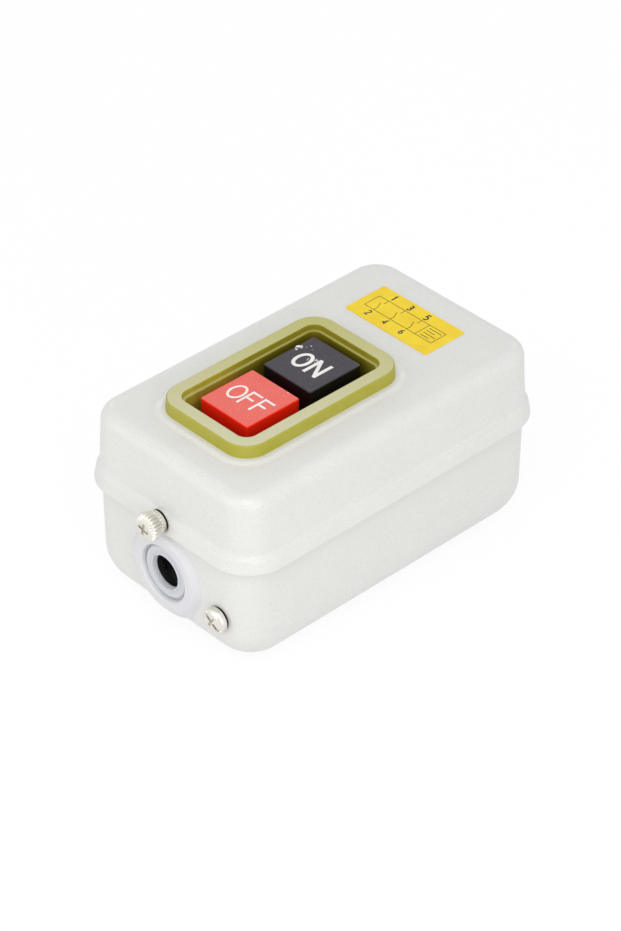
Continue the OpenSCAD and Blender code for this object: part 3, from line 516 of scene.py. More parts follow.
# The case: two cast shells that share one outline. The cover's lip hangs over the base's rim.
# bandTop, flareTop and rim are heights above the back, and backRings say how much further in than
# the base's rounding the loops of its flat back lie
lip = {"radius": 12.0, "wall": 1.85, "gap": 0.3, "out": 2.0, "drop": 1.0, "edge": 0.6, "bevel": 0.2,
       "bandTop": 32.4, "flareTop": 35.0, "flareOut": 0.55, "shoulder": 1.9, "rim": 34.2}
coverShape = {"edge": 3.6, "draft": 0.7, "tighten": 1.1, "wall": 2.2, "top": 2.5, "leastRadius": 2.6,
              "windowInset": 3.35, "windowRadius": 4.2, "frameRadius": 7.0,
              "landMargin": 1.8, "landHeight": 0.5, "landSpread": 0.95, "landFoot": 2.2,
              "topMargin": 0.4, "topEase": 4.5, "seam": 0.5, "seatDepth": 0.65, "seatRadius": 3.7}
baseShape = {"edge": 11.0, "draft": 0.25, "tighten": 0.6, "wall": 2.3, "floor": 2.5,
             "cornerEase": 7.0, "innerEase": 0.3, "leastRadius": 0.4, "backRings": (4.0, 0.5)}
# Radii of the screw holes, places of the wall screws and cable entries, and reach of the cutters
holes = {"coverScrew": 2.3, "tapped": 2.05, "wallScrew": 2.25, "wallScrewY": 37.8, "entryRise": 17.5,
         "over": 1.0, "coverReach": 6.0, "baseOver": 3.0, "baseReach": 8.0, "floorReach": 5.0}

coverLow, coverHigh = inMm("cover")
frameLow, frameHigh = inMm("bezel_frame")
thumbLow, thumbHigh = inMm("front_thumb_screw")
halfW, halfL = coverHigh.x, coverHigh.y
lipBottom, landTop = coverLow.z - lip["drop"], coverHigh.z
caseTop = landTop - coverShape["landHeight"]
frameMidY = (frameLow.y + frameHigh.y) / 2
frameHalf = ((frameHigh.x - frameLow.x) / 2, (frameHigh.y - frameLow.y) / 2)
rimTop, rimInset = lip["rim"], lip["wall"] + lip["gap"]
rimHalfX, rimHalfY, rimRadius = halfW - rimInset, halfL - rimInset, lip["radius"] - rimInset
thumbZ = (thumbLow.z + thumbHigh.z) / 2
entryRise = holes["entryRise"]
ends = (("front", -1), ("rear", 1))  # the near and the far end, with the sign of their Y


def aroundFrame(grow, radius, z):
    # A loop that follows the frame's outline, that much larger on every side
    return roundedLoop(frameHalf[0] + grow, frameHalf[1] + grow, radius, z, midY=frameMidY)


def aroundCase(inset, radius, z):
    # A loop that follows the lip's outline, that much smaller on every side
    return roundedLoop(halfW - inset, halfL - inset, radius, z)


def coverLoops():
    # Up through the window, over the land and the top, down the side, round the lip and up inside
    underTop = caseTop - coverShape["top"]
    loops = [aroundFrame(-coverShape["windowInset"], coverShape["windowRadius"], z)
             for z in (underTop, landTop)]
    margin, spread, foot = coverShape["landMargin"], coverShape["landSpread"], coverShape["landFoot"]
    landRadius, seam = coverShape["frameRadius"] + margin, coverShape["seam"]
    slope = [(-spread - seam, 0.0)]
    for t in (0.0, 0.12, 0.25, 0.38, 0.5, 0.62, 0.75, 0.88, 1.0):
        slope.append((spread * (2 * t - 1), coverShape["landHeight"] * (1 - math.cos(math.pi * t)) / 2))
    slope.append((foot, coverShape["landHeight"]))
    for grow, drop in slope:
        loops.append(aroundFrame(margin + grow, landRadius + grow, landTop - drop))
    edge, draft = coverShape["edge"], coverShape["draft"]
    topInset = lip["out"] + draft + edge
    startX, startY = (h + margin + foot for h in frameHalf)
    endX, endY = (h - topInset - coverShape["topMargin"] for h in (halfW, halfL))
    for share in (0.35, 0.7):
        radius = landRadius + foot - coverShape["topEase"] * share
        loops.append(roundedLoop(startX + (endX - startX) * share, startY + (endY - startY) * share,
                                 radius, caseTop, midY=frameMidY * (1 - share)))
    sideRadius = lip["radius"] - coverShape["tighten"]
    loops.append(aroundCase(topInset + seam, sideRadius - topInset + 2 * seam, caseTop))
    sideTop = caseTop - edge
    for across, rise in arc(0, 0, edge, 90, 0, 10):
        inset = topInset - across
        loops.append(aroundCase(inset, max(coverShape["leastRadius"], sideRadius - inset), sideTop + rise))
    shoulderTop = lip["flareTop"] + lip["shoulder"]
    for share in (0.06, 0.5, 0.94):
        inset = lip["out"] + draft * (1 - share)
        loops.append(aroundCase(inset, sideRadius - inset, sideTop + (shoulderTop - sideTop) * share))
    steps = 12
    for i in range(steps + 1):
        t = i / steps
        fade = (1 + math.cos(math.pi * t)) / 2
        inset = lip["flareOut"] + (lip["out"] - lip["flareOut"]) * fade
        radius = lip["radius"] - coverShape["tighten"] * fade - inset
        loops.append(aroundCase(inset, radius, shoulderTop - lip["shoulder"] * t))
    for share in (0.35, 0.7, 1.0):
        inset = lip["flareOut"] * (1 - share)
        z = lip["flareTop"] + (lip["bandTop"] - lip["flareTop"]) * share
        loops.append(aroundCase(inset, lip["radius"] - inset, z))
    for across, rise in arc(0, 0, lip["edge"], 0, -90, 6):
        inset = lip["edge"] - across
        loops.append(aroundCase(inset, lip["radius"] - inset, lipBottom + lip["edge"] + rise))
    wall, bevel, innerRadius = lip["wall"], lip["bevel"], lip["radius"] - lip["wall"]
    loops.append(aroundCase(wall - bevel, innerRadius, lipBottom))
    loops.append(aroundCase(wall, innerRadius, lipBottom + bevel))
    loops.append(aroundCase(wall, innerRadius, rimTop))
    ledge = lip["out"] + coverShape["wall"]
    loops.append(aroundCase(ledge, lip["radius"] - ledge, rimTop))
    loops.append(aroundCase(ledge + draft, lip["radius"] - ledge - draft, underTop))
    return loops


coverCuts = []
for sign in (-1, 1):
    y0, y1 = sorted((sign * (halfL - holes["coverReach"]), sign * (halfL + holes["over"])))
    coverCuts.append(holeAlongY(0, thumbZ, holes["coverScrew"], y0, y1))
    y0, y1 = sorted((sign * (halfL - coverShape["seatDepth"]), sign * (halfL + holes["over"])))
    coverCuts.append(holeAlongY(0, thumbZ, coverShape["seatRadius"], y0, y1, 64))
coverMesh = carved("coverShell", loft(coverLoops(), closed=True), coverCuts)
addPiece("coverShell", coverMesh, materials["case_paint"], "case", ["cover"])
print("cover made")


def wallInset(z):
    # How far the side of the base has leaned in at height z
    return baseShape["draft"] * (rimTop - z) / (rimTop - baseShape["edge"])


def baseLoops():
    # Out over the back, round its large edge, up the wall to the rim and down inside to the floor
    edge, draft, wall = baseShape["edge"], baseShape["draft"], baseShape["wall"]
    backX, backY = rimHalfX - draft, rimHalfY - draft
    baseRadius = rimRadius - draft - baseShape["tighten"]

    def ring(inset, z, grow=0.0):
        ease = baseShape["cornerEase"] * inset / baseRadius
        return roundedLoop(backX - inset + grow, backY - inset + grow, baseRadius - inset + ease + grow, z)

    loops = [ring(baseRadius + extra, 0.0) for extra in baseShape["backRings"]]
    for across, rise in arc(0, 0, 1, -88, 0, 14):
        loops.append(ring(baseRadius * (1 - across), edge + edge * rise))
    for share in (0.05, 0.35, 0.65, 0.97, 1.0):
        loops.append(ring(0.0, edge + (rimTop - edge) * share, draft * share))
    loops.append(roundedLoop(rimHalfX - wall, rimHalfY - wall, rimRadius - wall, rimTop))
    loops.append(roundedLoop(backX - wall, backY - wall, baseRadius - wall, edge))
    for across, rise in arc(0, 0, 1, 0, -88, 8)[1:]:
        inset = (baseRadius - wall) * (1 - across)
        radius = max(baseRadius - wall - inset, baseShape["leastRadius"]) + baseShape["innerEase"] * inset
        loops.append(roundedLoop(backX - wall - inset, backY - wall - inset, radius,
                                 edge + (edge - baseShape["floor"]) * rise))
    return loops


# The cable entries: a round boss at each end, flared into the wall
entry = {"faceRadius": 10.4, "footRadius": 12.9, "bossOut": 1.6, "recessRadius": 8.0, "recess": 2.0,
         "holeRadius": 6.2, "mouth": 0.6, "wallRoom": 2.6, "sink": 0.4, "backWidth": 1.0,
         "flareRings": 12, "steps": 96}
tab = {"halfWidth": 5.5, "back": 7.3, "front": 1.2, "low": 27.0, "high": 36.4}  # takes the thumb screw
entryFace = inMm("base_box")[1].y
earthLow, earthHigh = inMm("earth_screw")
earthX, earthZ = (earthLow.x + earthHigh.x) / 2, (earthLow.z + earthHigh.z) / 2

baseCuts = []
for sign in (-1, 1):
    baseCuts.append(holeAlongZ(0, sign * holes["wallScrewY"], holes["wallScrew"], -holes["over"],
                               holes["floorReach"]))
    y0, y1 = sorted((sign * (rimHalfY - holes["baseReach"]), sign * (rimHalfY + holes["baseOver"])))
    baseCuts.append(holeAlongY(0, entryRise, entry["holeRadius"] + entry["wallRoom"], y0, y1, 64))
    baseCuts.append(holeAlongY(0, thumbZ, holes["tapped"], y0, y1))
baseCuts.append(holeAlongY(earthX, earthZ, holes["tapped"], -rimHalfY - holes["baseOver"],
                           -rimHalfY + holes["baseReach"]))
baseMesh = carved("baseShell", loft(baseLoops(), capFirst=True, capLast=True), baseCuts)
addPiece("baseShell", baseMesh, materials["case_paint"], "case", ["base_box"])


def entryBoss(sign):
    # The third value of each ring says how far it follows the leaning wall, and its second is then
    # measured from that wall
    hole, recess = entry["holeRadius"], entry["recessRadius"]
    mouth, swell = entry["mouth"], entry["footRadius"] - entry["faceRadius"]
    wallIn, recessFloor = entryFace - entry["bossOut"] - baseShape["wall"], entryFace - entry["recess"]
    profile = [(hole, wallIn, 0.0), (hole, recessFloor, 0.0), (recess, recessFloor, 0.0)]
    for r, h in arc(recess + mouth, 0, mouth, 180, 90, 6):
        profile.append((r, entryFace - mouth + h, 0.0))
    profile.append((entry["faceRadius"], entryFace, 0.0))
    for k in range(1, entry["flareRings"] + 1):
        t = k / entry["flareRings"]
        profile.append((entry["faceRadius"] + swell * t, 0.0, (1 - math.cos(math.pi * t)) / 2))
    profile.append((entry["footRadius"] + entry["sink"], -entry["sink"], 1.0))
    profile.append((hole + entry["backWidth"], wallIn, 0.0))
    rings = []
    for r, y, follows in profile:
        ring = []
        for k in range(entry["steps"]):
            angle = 2 * math.pi * k / entry["steps"]
            x, z = r * math.cos(angle), entryRise + r * math.sin(angle)
            onWall = rimHalfY - wallInset(z) + y
            along = entryFace + (onWall - entryFace) * follows if follows else y
            ring.append((x, sign * along, z))
        rings.append(ring)
    return loft(rings, closed=True)


for label, sign in ends:
    addPiece(label + "EntryBoss", entryBoss(sign), bossEnamel, "case")
    y0, y1 = sorted((sign * (rimHalfY - tab["back"]), sign * (rimHalfY - tab["front"])))
    tabBlock = blockAt((-tab["halfWidth"], y0, tab["low"]), (tab["halfWidth"], y1, tab["high"]))
    tabHole = holeAlongY(0, thumbZ, holes["tapped"], y0 - holes["over"], y1 + holes["over"])
    addPiece(label + "ScrewTab", carved(label + "ScrewTab", tabBlock, [tabHole]),
             materials["case_paint"], "case")
print("base made")

# The olive frame: one moulding with a stepped well
frameShape = {"radius": 7.0, "draft": 0.15, "edge": 0.6, "rim": 3.9, "rimFlat": 0.4, "innerEdge": 0.25,
              "wellRadius": 3.2, "drop": 1.6, "step": 0.8, "stepEdge": 0.12, "skirt": 0.4}


def frameLoops():
    # Up the outside, over the rim, and down the well by its step
    top, foot, bottom = frameHigh.z, landTop, frameLow.z
    draft, edge, radius = frameShape["draft"], frameShape["edge"], frameShape["radius"]
    loops = []
    for share in (0.0, 0.03, 0.5, 0.93):
        inset = draft * share
        loops.append(aroundFrame(-inset, radius - inset, foot + (top - edge - foot) * share))
    for across, rise in arc(0, 0, edge, 0, 90, 7):
        inset = draft + edge - across
        loops.append(aroundFrame(-inset, radius - inset, top - edge + rise))
    well, wellRadius = -draft - frameShape["rim"], frameShape["wellRadius"]
    small, bevel, step = frameShape["innerEdge"], frameShape["stepEdge"], frameShape["step"]
    skirt, ledge = frameShape["skirt"], top - frameShape["drop"]
    turns = [(small + frameShape["rimFlat"], top)]
    turns += [(across, top - small + rise) for across, rise in arc(small, 0, small, 90, 180, 4)]
    turns += [(0.0, ledge + bevel), (-bevel, ledge), (-step + bevel, ledge), (-step, ledge - bevel),
              (-step, bottom), (skirt, bottom), (skirt, foot)]
    return loops + [aroundFrame(well + grow, wellRadius + grow, z) for grow, z in turns]


addPiece("buttonFrame", loft(frameLoops(), closed=True), materials["frame_plastic"], "case",
         ["bezel_frame"])
print("frame made")

# The buttons: hollow caps with crisp edges, and a socket under each for its plunger
capShape = {"edge": 0.3, "corner": 0.55, "leastCorner": 0.2, "wall": 1.6, "roof": 2.0, "footEdge": 0.1,
            "sideSeam": 0.2, "topSeam": 0.3, "socketRadius": 4.0, "neckRadius": 2.5, "socket": 4.0,
            "socketSink": 0.3}


def buttonCap(low, high):
    halfX, halfY = (high.x - low.x) / 2, (high.y - low.y) / 2
    midX, midY = (high.x + low.x) / 2, (high.y + low.y) / 2
    corner, edge, footEdge = capShape["corner"], capShape["edge"], capShape["footEdge"]
    sides = [(capShape["wall"], corner, high.z - capShape["roof"]), (capShape["wall"], corner, low.z),
             (footEdge, corner, low.z), (0.0, corner, low.z + footEdge),
             (0.0, corner, high.z - edge - capShape["sideSeam"])]
    for across, rise in arc(0, 0, edge, 0, 90, 5):
        inset = edge - across
        sides.append((inset, max(capShape["leastCorner"], corner - inset), high.z - edge + rise))
    sides.append((edge + capShape["topSeam"], capShape["leastCorner"], high.z))
    loops = [roundedLoop(halfX - inset, halfY - inset, radius, z, midX=midX, midY=midY, perCorner=6,
                         perSide=4) for inset, radius, z in sides]
    neck, outside, depth = capShape["neckRadius"], capShape["socketRadius"], capShape["socket"]
    socketFoot = high.z - capShape["roof"] + capShape["socketSink"] - depth
    socket = lathe([(neck, 0), (neck, depth), (outside, depth), (outside, 0), (neck, 0)],
                   (midX, midY, socketFoot), (0, 0, 1), 40)
    return together(loft(loops, capFirst=True, capLast=True), socket)


capTops = {}
for label, body, slot in (("off_button", "off_plunger", "button_red"),
                          ("on_button", "on_plunger", "button_black")):
    low, high = inMm(label)
    capTops[label] = high.z
    addPiece(label.split("_")[0] + "Cap", buttonCap(low, high), materials[slot], body, [label])
print("buttons made")

# Lettering: strokes of a plain upright alphabet, printed a hair proud of the caps. Where strokes
# cross, one lies a little higher, so that they don't flicker
ink = {"height": 0.03, "over": 0.002, "sharpest": 0.35}
letterShares = {"slant": 0.4, "middle": 0.52, "arm": 0.84}


def strokeShape(points, width, z, closedLoop=False):
    # A ribbon of even width along a flat line, as a thin closed solid
    points = [Vector(p) for p in points]
    count = len(points)
    verts, faces = [], []
    for i, p in enumerate(points):
        before = points[i - 1] if i > 0 or closedLoop else None
        after = points[(i + 1) % count] if i < count - 1 or closedLoop else None
        inward = (p - before).normalized() if before is not None else None
        outward = (after - p).normalized() if after is not None else None
        inward = inward or outward
        outward = outward or inward
        side = Vector((-(inward.y + outward.y), inward.x + outward.x)).normalized()
        reach = width / 2 / max(ink["sharpest"], side.dot(Vector((-inward.y, inward.x))))
        left, right = p + side * reach, p - side * reach
        bottom = z - ink["height"] * 2
        verts += [(left.x, left.y, z), (right.x, right.y, z),
                  (left.x, left.y, bottom), (right.x, right.y, bottom)]
    spans = count if closedLoop else count - 1
    for i in range(spans):
        a, b = i * 4, ((i + 1) % count) * 4
        faces += [(a, a + 1, b + 1, b), (a + 2, b + 2, b + 3, a + 3),
                  (a, b, b + 2, a + 2), (a + 1, a + 3, b + 3, b + 1)]
    if not closedLoop:
        last = (count - 1) * 4
        faces += [(0, 2, 3, 1), (last, last + 1, last + 3, last + 2)]
    return verts, faces


def letterO(x0, x1, y0, y1, width, z):
    halfX, halfY = (x1 - x0 - width) / 2, (y1 - y0 - width) / 2
    ring = [((x0 + x1) / 2 + halfX * math.cos(t), (y0 + y1) / 2 + halfY * math.sin(t))
            for t in (2 * math.pi * k / 40 for k in range(40))]
    return strokeShape(ring, width, z, closedLoop=True)


def letterN(x0, x1, y0, y1, width, z):
    half, tuck = width / 2, width / 2 * letterShares["slant"]
    stems = [strokeShape([(x, y0), (x, y1)], width, z) for x in (x0 + half, x1 - half)]
    slant = strokeShape([(x0 + half, y1 - tuck), (x1 - half, y0 + tuck)], width, z + ink["over"])
    return together(*stems, slant)


def letterF(x0, x1, y0, y1, width, z):
    half = width / 2
    middle, armEnd = y0 + (y1 - y0) * letterShares["middle"], x0 + (x1 - x0) * letterShares["arm"]
    return together(strokeShape([(x0 + half, y0), (x0 + half, y1)], width, z),
                    strokeShape([(x0, y1 - half), (x1, y1 - half)], width, z + ink["over"]),
                    strokeShape([(x0, middle), (armEnd, middle)], width, z + ink["over"]))


words = {
    "on": {"low": -4.8, "high": 1.9, "stroke": 0.98,
           "letters": [(letterO, -5.3, -0.5), (letterN, 0.2, 4.75)]},
    "off": {"low": -25.7, "high": -19.5, "stroke": 0.66,
            "letters": [(letterO, -6.4, -1.8), (letterF, -1.35, 2.2), (letterF, 3.0, 6.6)]},
}
inkTops = {label: capTops[label + "_button"] + ink["height"] for label in words}


def lettering(label):
    word = words[label]
    return together(*[letter(x0, x1, word["low"], word["high"], word["stroke"], inkTops[label])
                      for letter, x0, x1 in word["letters"]])


# Wear: chips down to bare white, each as x, y and size, and fine scratches across the black cap
wear = {"seed": 7,
        "on": [(-8.0, 1.75, 1.35), (-7.5, 2.35, 1.05), (-7.05, 1.95, 0.6), (-7.5, 0.55, 0.75),
               (-8.1, 0.9, 0.4), (-5.9, 4.2, 0.42), (-6.4, 3.1, 0.2), (-4.6, 3.4, 0.18)],
        "off": [(4.75, -13.75, 0.35), (2.5, -13.72, 0.25), (5.3, -13.8, 0.2)],
        "corners": 7, "uneven": (0.55, 1.25), "stretch": 1.2, "scratches": 9, "scratchStart": -2.3,
        "scratchSpan": 2.9, "scratchY": (-0.4, 1.3), "scratchTurn": (0.3, 2.6),
        "scratchReach": (0.35, 0.65), "scratchWidth": 0.16, "scratchSink": 0.004}
chance = random.Random(wear["seed"])


def chip(x, y, size, z):
    ring = []
    for k in range(wear["corners"]):
        angle = 2 * math.pi * k / wear["corners"]
        r = size / 2 * chance.uniform(*wear["uneven"])
        ring.append((x + r * math.cos(angle) * wear["stretch"], y + r * math.sin(angle)))
    return loft([[(px, py, height) for px, py in ring] for height in (z - ink["height"] * 2, z)],
                capFirst=True, capLast=True)


def scratch(i, z):
    x = wear["scratchStart"] + wear["scratchSpan"] * i / wear["scratches"]
    y, angle = chance.uniform(*wear["scratchY"]), chance.uniform(*wear["scratchTurn"])
    reach = chance.uniform(*wear["scratchReach"])
    dx, dy = reach * math.cos(angle), reach * math.sin(angle)
    return strokeShape([(x - dx, y - dy), (x + dx, y + dy)], wear["scratchWidth"], z - wear["scratchSink"])


onWear = [chip(x, y, size, inkTops["on"]) for x, y, size in wear["on"]]
onWear += [scratch(i, inkTops["on"]) for i in range(wear["scratches"])]
offWear = [chip(x, y, size, inkTops["off"]) for x, y, size in wear["off"]]
addPiece("onWear", together(*onWear), whiteInk, "on_plunger", sharpAngle=20)
addPiece("offWear", together(*offWear), whiteInk, "off_plunger", sharpAngle=20)
addPiece("onLettering", lettering("on"), whiteInk, "on_plunger", sharpAngle=20)
addPiece("offLettering", lettering("off"), whiteInk, "off_plunger", sharpAngle=20)
print("lettering made")

# Label: a thin yellow sheet with a generic contact diagram and plain terminal numbers
labelShape = {"corner": 0.4, "edge": 0.06, "printHeight": 0.015, "line": 0.17, "bold": 0.44,
              "oddDigit": 2.2, "evenDigit": 2.0, "digitShift": 0.5, "oddGap": 0.75, "evenGap": 2.85,
              "boxInset": 2.6, "boxDown": 2.6, "boxUp": 2.9, "poles": 3, "leadEnd": 1.1,
              "bladeFoot": 1.2, "bladeTip": 0.9, "bladeReach": 1.0, "rows": 4, "rowStart": 1.1,
              "rowStep": 1.15}
# Shares of half the box's width, and of the line's width for evenBold and rowBold
labelShares = {"divider": 0.52, "firstPole": -0.72, "poleStep": 0.5, "evenBold": 0.8, "rowStart": 0.6,
               "rowEnd": 0.95, "rowShort": 0.1, "rowBold": 1.3}
labelLow, labelHigh = inMm("rating_label")
labelMid, labelHalf = (labelLow + labelHigh) / 2, (labelHigh - labelLow) / 2


def labelSheet():
    edge = labelShape["edge"]
    loops = [roundedLoop(labelHalf.x - inset, labelHalf.y - inset, labelShape["corner"], z,
                         midX=labelMid.x, midY=labelMid.y, perCorner=4, perSide=4)
             for inset, z in ((0.0, labelLow.z), (0.0, labelHigh.z - edge), (edge, labelHigh.z))]
    return loft(loops, capFirst=True, capLast=True)


addPiece("labelSheet", labelSheet(), materials["label_yellow"], "case", ["rating_label"])

# Digits as strokes in a box one wide and two high
digitStrokes = {
    1: [(0.25, 1.6), (0.6, 2.0), (0.6, 0.0)],
    2: [(0.05, 1.55), (0.2, 1.88), (0.5, 2.0), (0.8, 1.88), (0.95, 1.5), (0.85, 1.15), (0.05, 0.0),
        (1.0, 0.0)],
    3: [(0.08, 1.85), (0.5, 2.0), (0.88, 1.8), (0.88, 1.3), (0.45, 1.08), (0.9, 0.85), (0.95, 0.35),
        (0.55, 0.0), (0.05, 0.15)],
    4: [(0.75, 0.0), (0.75, 2.0), (0.0, 0.6), (1.0, 0.6)],
    5: [(0.92, 2.0), (0.15, 2.0), (0.1, 1.15), (0.55, 1.25), (0.95, 0.95), (0.95, 0.35), (0.55, 0.0),
        (0.05, 0.12)],
    6: [(0.85, 1.9), (0.45, 1.75), (0.12, 1.1), (0.08, 0.45), (0.3, 0.05), (0.7, 0.05), (0.95, 0.4),
        (0.9, 0.85), (0.55, 1.1), (0.15, 0.9)],
}


def digit(number, x, y, height, width, z):
    scale = height / 2
    return strokeShape([(x + px * scale, y + py * scale) for px, py in digitStrokes[number]], width, z)


def labelPrint():
    z = labelHigh.z + labelShape["printHeight"]
    cx, cy = labelMid.x, labelMid.y
    thin, bold, shift = labelShape["line"], labelShape["bold"], labelShape["digitShift"]
    boxHalf = labelHalf.x - labelShape["boxInset"]
    boxLow, boxHigh = cy - labelShape["boxDown"], cy + labelShape["boxUp"]
    boxLeft, boxRight = cx - boxHalf, cx + boxHalf
    corners = [(boxLeft, boxLow), (boxRight, boxLow), (boxRight, boxHigh), (boxLeft, boxHigh)]
    shapes = [strokeShape([a, b], thin, z) for a, b in zip(corners, corners[1:] + corners[:1])]
    divider = cx + boxHalf * labelShares["divider"]
    shapes.append(strokeShape([(divider, boxLow), (divider, boxHigh)], thin, z))
    for i in range(labelShape["poles"]):
        # An open contact: two leads and a slanted blade, with a number at each end
        x = cx + boxHalf * (labelShares["firstPole"] + labelShares["poleStep"] * i)
        shapes.append(strokeShape([(x, boxHigh), (x, cy + labelShape["leadEnd"])], thin, z))
        blade = (x - labelShape["bladeReach"], cy + labelShape["bladeTip"])
        shapes.append(strokeShape([(x, boxLow), (x, cy - labelShape["bladeFoot"]), blade], thin, z))
        shapes.append(digit(2 * i + 1, x - shift, boxHigh + labelShape["oddGap"], labelShape["oddDigit"],
                            bold, z))
        shapes.append(digit(2 * i + 2, x - shift, boxLow - labelShape["evenGap"], labelShape["evenDigit"],
                            bold * labelShares["evenBold"], z))
    for i in range(labelShape["rows"]):
        y = boxHigh - labelShape["rowStart"] - labelShape["rowStep"] * i
        end = labelShares["rowEnd"] - labelShares["rowShort"] * (i % 2)
        shapes.append(strokeShape([(cx + boxHalf * labelShares["rowStart"], y), (cx + boxHalf * end, y)],
                                  thin * labelShares["rowBold"], z))
    return together(*shapes)


addPiece("labelPrint", labelPrint(), blackInk, "case", sharpAngle=20)
print("label made")


def crossCutters(centre, axis, cross, turn, bars=2):
    # Bars that cut a driver recess, from their (half length, width, depth): two make a cross
    armLength, armWidth, depth = cross
    axis = Vector(axis).normalized()
    side = axis.cross(Vector((0, 0, 1))).normalized()
    up = side.cross(axis).normalized()
    shapes = []
    for k in range(bars):
        angle = math.radians(turn) + math.pi / 2 * k
        along = side * math.cos(angle) + up * math.sin(angle)
        across = axis.cross(along)
        corners = []
        for h in (-depth, depth):
            for a, b in ((-1, -1), (1, -1), (1, 1), (-1, 1)):
                corner = Vector(centre) + axis * h + along * (a * armLength) + across * (b * armWidth / 2)
                corners.append(tuple(corner))
        faces = [(3, 2, 1, 0), (4, 5, 6, 7), (0, 1, 5, 4), (1, 2, 6, 5), (2, 3, 7, 6), (3, 0, 4, 7)]
        shapes.append((corners, faces))
    return shapes


# Thumb screws: a ridged, tapering head on a plain collar, with a cross recess in its end. The crown
# lists (fall of the radius, distance from the end) round the head's outer edge
thumb = {"footRadius": 3.1, "headRadius": 3.88, "head": 5.25, "plain": 1.1, "taper": 3.5,
         "footEdge": 0.3, "footRise": 0.2, "lean": 0.05, "root": 0.2, "runOut": 0.25,
         "ridges": 24, "perRidge": 10, "ridgeDepth": 0.5, "crownFade": 0.45,
         "crown": [(0.0, 1.2), (0.1, 0.85), (0.35, 0.55), (0.75, 0.34), (1.25, 0.18)],
         "dome": 2.0, "domeEdge": 0.08, "domeRise": 0.02, "cross": (1.8, 0.85, 0.9), "turn": 12,
         "collarRadius": 2.8, "collar": 0.4, "collarEdge": 0.1, "collarBack": 0.05,
         "shankRadius": 2.0, "shankEdge": 0.3}
# What each one seats on: a thin plated ring, over a cast pad that carries it past the cover's flare
seat = {"ring": 0.05, "ringRadius": 3.1, "ringGap": 0.2, "padBore": 2.3, "padRadius": 2.95,
        "padDepth": 2.6, "padSink": 0.01, "padEdge": 0.25, "padFlare": 0.15, "steps": 48}
seatY = halfL - coverShape["seatDepth"]


def thumbHead(sign):
    start, end = thumb["collar"], thumb["collar"] + thumb["head"]
    foot, head, depth = thumb["footRadius"], thumb["headRadius"], thumb["ridgeDepth"]
    root, ridgeStart = foot + thumb["root"], start + thumb["plain"] + thumb["runOut"]
    ridgeEnd = start + thumb["taper"]
    profile = [(0, start, 0), (foot - thumb["footEdge"], start, 0), (foot, start + thumb["footRise"], 0),
               (foot + thumb["lean"], start + thumb["plain"], 0)]
    for share in (0.0, 0.35, 0.7, 1.0):
        profile.append((root + (head - root) * share, ridgeStart + (ridgeEnd - ridgeStart) * share, depth))
    for fall, back in thumb["crown"]:
        profile.append((head - fall, end - back, depth * (1 - fall * thumb["crownFade"])))
    profile += [(thumb["dome"], end - thumb["domeEdge"], 0), (thumb["dome"] / 2, end - thumb["domeRise"], 0),
                (0, end, 0)]
    return lathe([(r, h) for r, h, d in profile], (0, sign * seatY, thumbZ), (0, sign, 0),
                 thumb["ridges"] * thumb["perRidge"], thumb["ridges"], [d for r, h, d in profile])


def thumbShank(sign, low, high):
    start, bevel = min(abs(low.y), abs(high.y)) - seatY, thumb["shankEdge"]
    collar, shank, edge, back = (thumb[key] for key in ("collarRadius", "shankRadius", "collarEdge",
                                                        "collarBack"))
    profile = [(0, start), (shank - bevel, start), (shank, start + bevel), (shank, back),
               (collar - edge, back), (collar, back + edge), (collar, thumb["collar"]), (0, thumb["collar"])]
    return lathe(profile, (0, sign * seatY, thumbZ), (0, sign, 0), 48)


def seatRing(sign):
    inside, outside = thumb["shankRadius"] + seat["ringGap"], seat["ringRadius"]
    height = seatY + seat["ring"]
    profile = [(inside, seatY), (inside, height), (outside, height), (outside, seatY)]
    return loft(ringsAlongY(profile, 0, thumbZ, seat["steps"], sign), closed=True)


def seatPad(sign):
    bore, outside, edge = seat["padBore"], seat["padRadius"], seat["padEdge"]
    face, back = seatY - seat["padSink"], seatY - seat["padDepth"]
    profile = [(bore, back), (bore, face), (outside - edge, face), (outside, face - edge),
               (outside + seat["padFlare"], back)]
    return loft(ringsAlongY(profile, 0, thumbZ, seat["steps"], sign), closed=True)


for label, sign in ends:
    low, high = inMm(label + "_thumb_screw")
    headEnd = (0, sign * (seatY + thumb["collar"] + thumb["head"]), thumbZ)
    crossCut = crossCutters(headEnd, (0, sign, 0), thumb["cross"], thumb["turn"])
    headMesh = carved(label + "ThumbHead", thumbHead(sign), crossCut)
    addPiece(label + "ThumbHead", headMesh, materials["bright_nickel"], label + "_thumb",
             [label + "_thumb_screw"], sharpAngle=38)
    # The collar is painted near-black: painted shade under the head
    addPiece(label + "ThumbShank", thumbShank(sign, low, high), shadeBlackSteel, label + "_thumb")
    addPiece(label + "SeatRing", seatRing(sign), materials["latch_steel"], "case")
    # The pad's enamel is darkened: painted shade
    addPiece(label + "SeatPad", seatPad(sign), padShadeEnamel, "case")
print("thumb screws made")

# Cable liners: white rings pressed into the recesses of the bosses, with a near-black sleeve in the neck as
# painted shade
liner = {"flangeRadius": 7.4, "flange": 1.2, "bore": 4.6, "lip": 1.5, "lipWidth": 0.7, "seam": 0.05,
         "steps": 4, "stepOut": 0.09, "dish": 0.45, "dishStart": 0.3, "rimFlat": 0.7, "rimEdge": 0.3,
         "rimDrop": 0.2, "neckRadius": 6.1, "neckBore": 5.3, "innerLip": 7.0, "innerLipWidth": 0.8,
         "sleeve": 0.25, "sleeveBack": 0.25, "sleeveGap": 0.02, "sleeveEdge": 0.1, "around": 72}
dishShares = {"lip": 0.7, "lipFoot": 0.8, "rimIn": 0.55, "rimOut": 0.6}


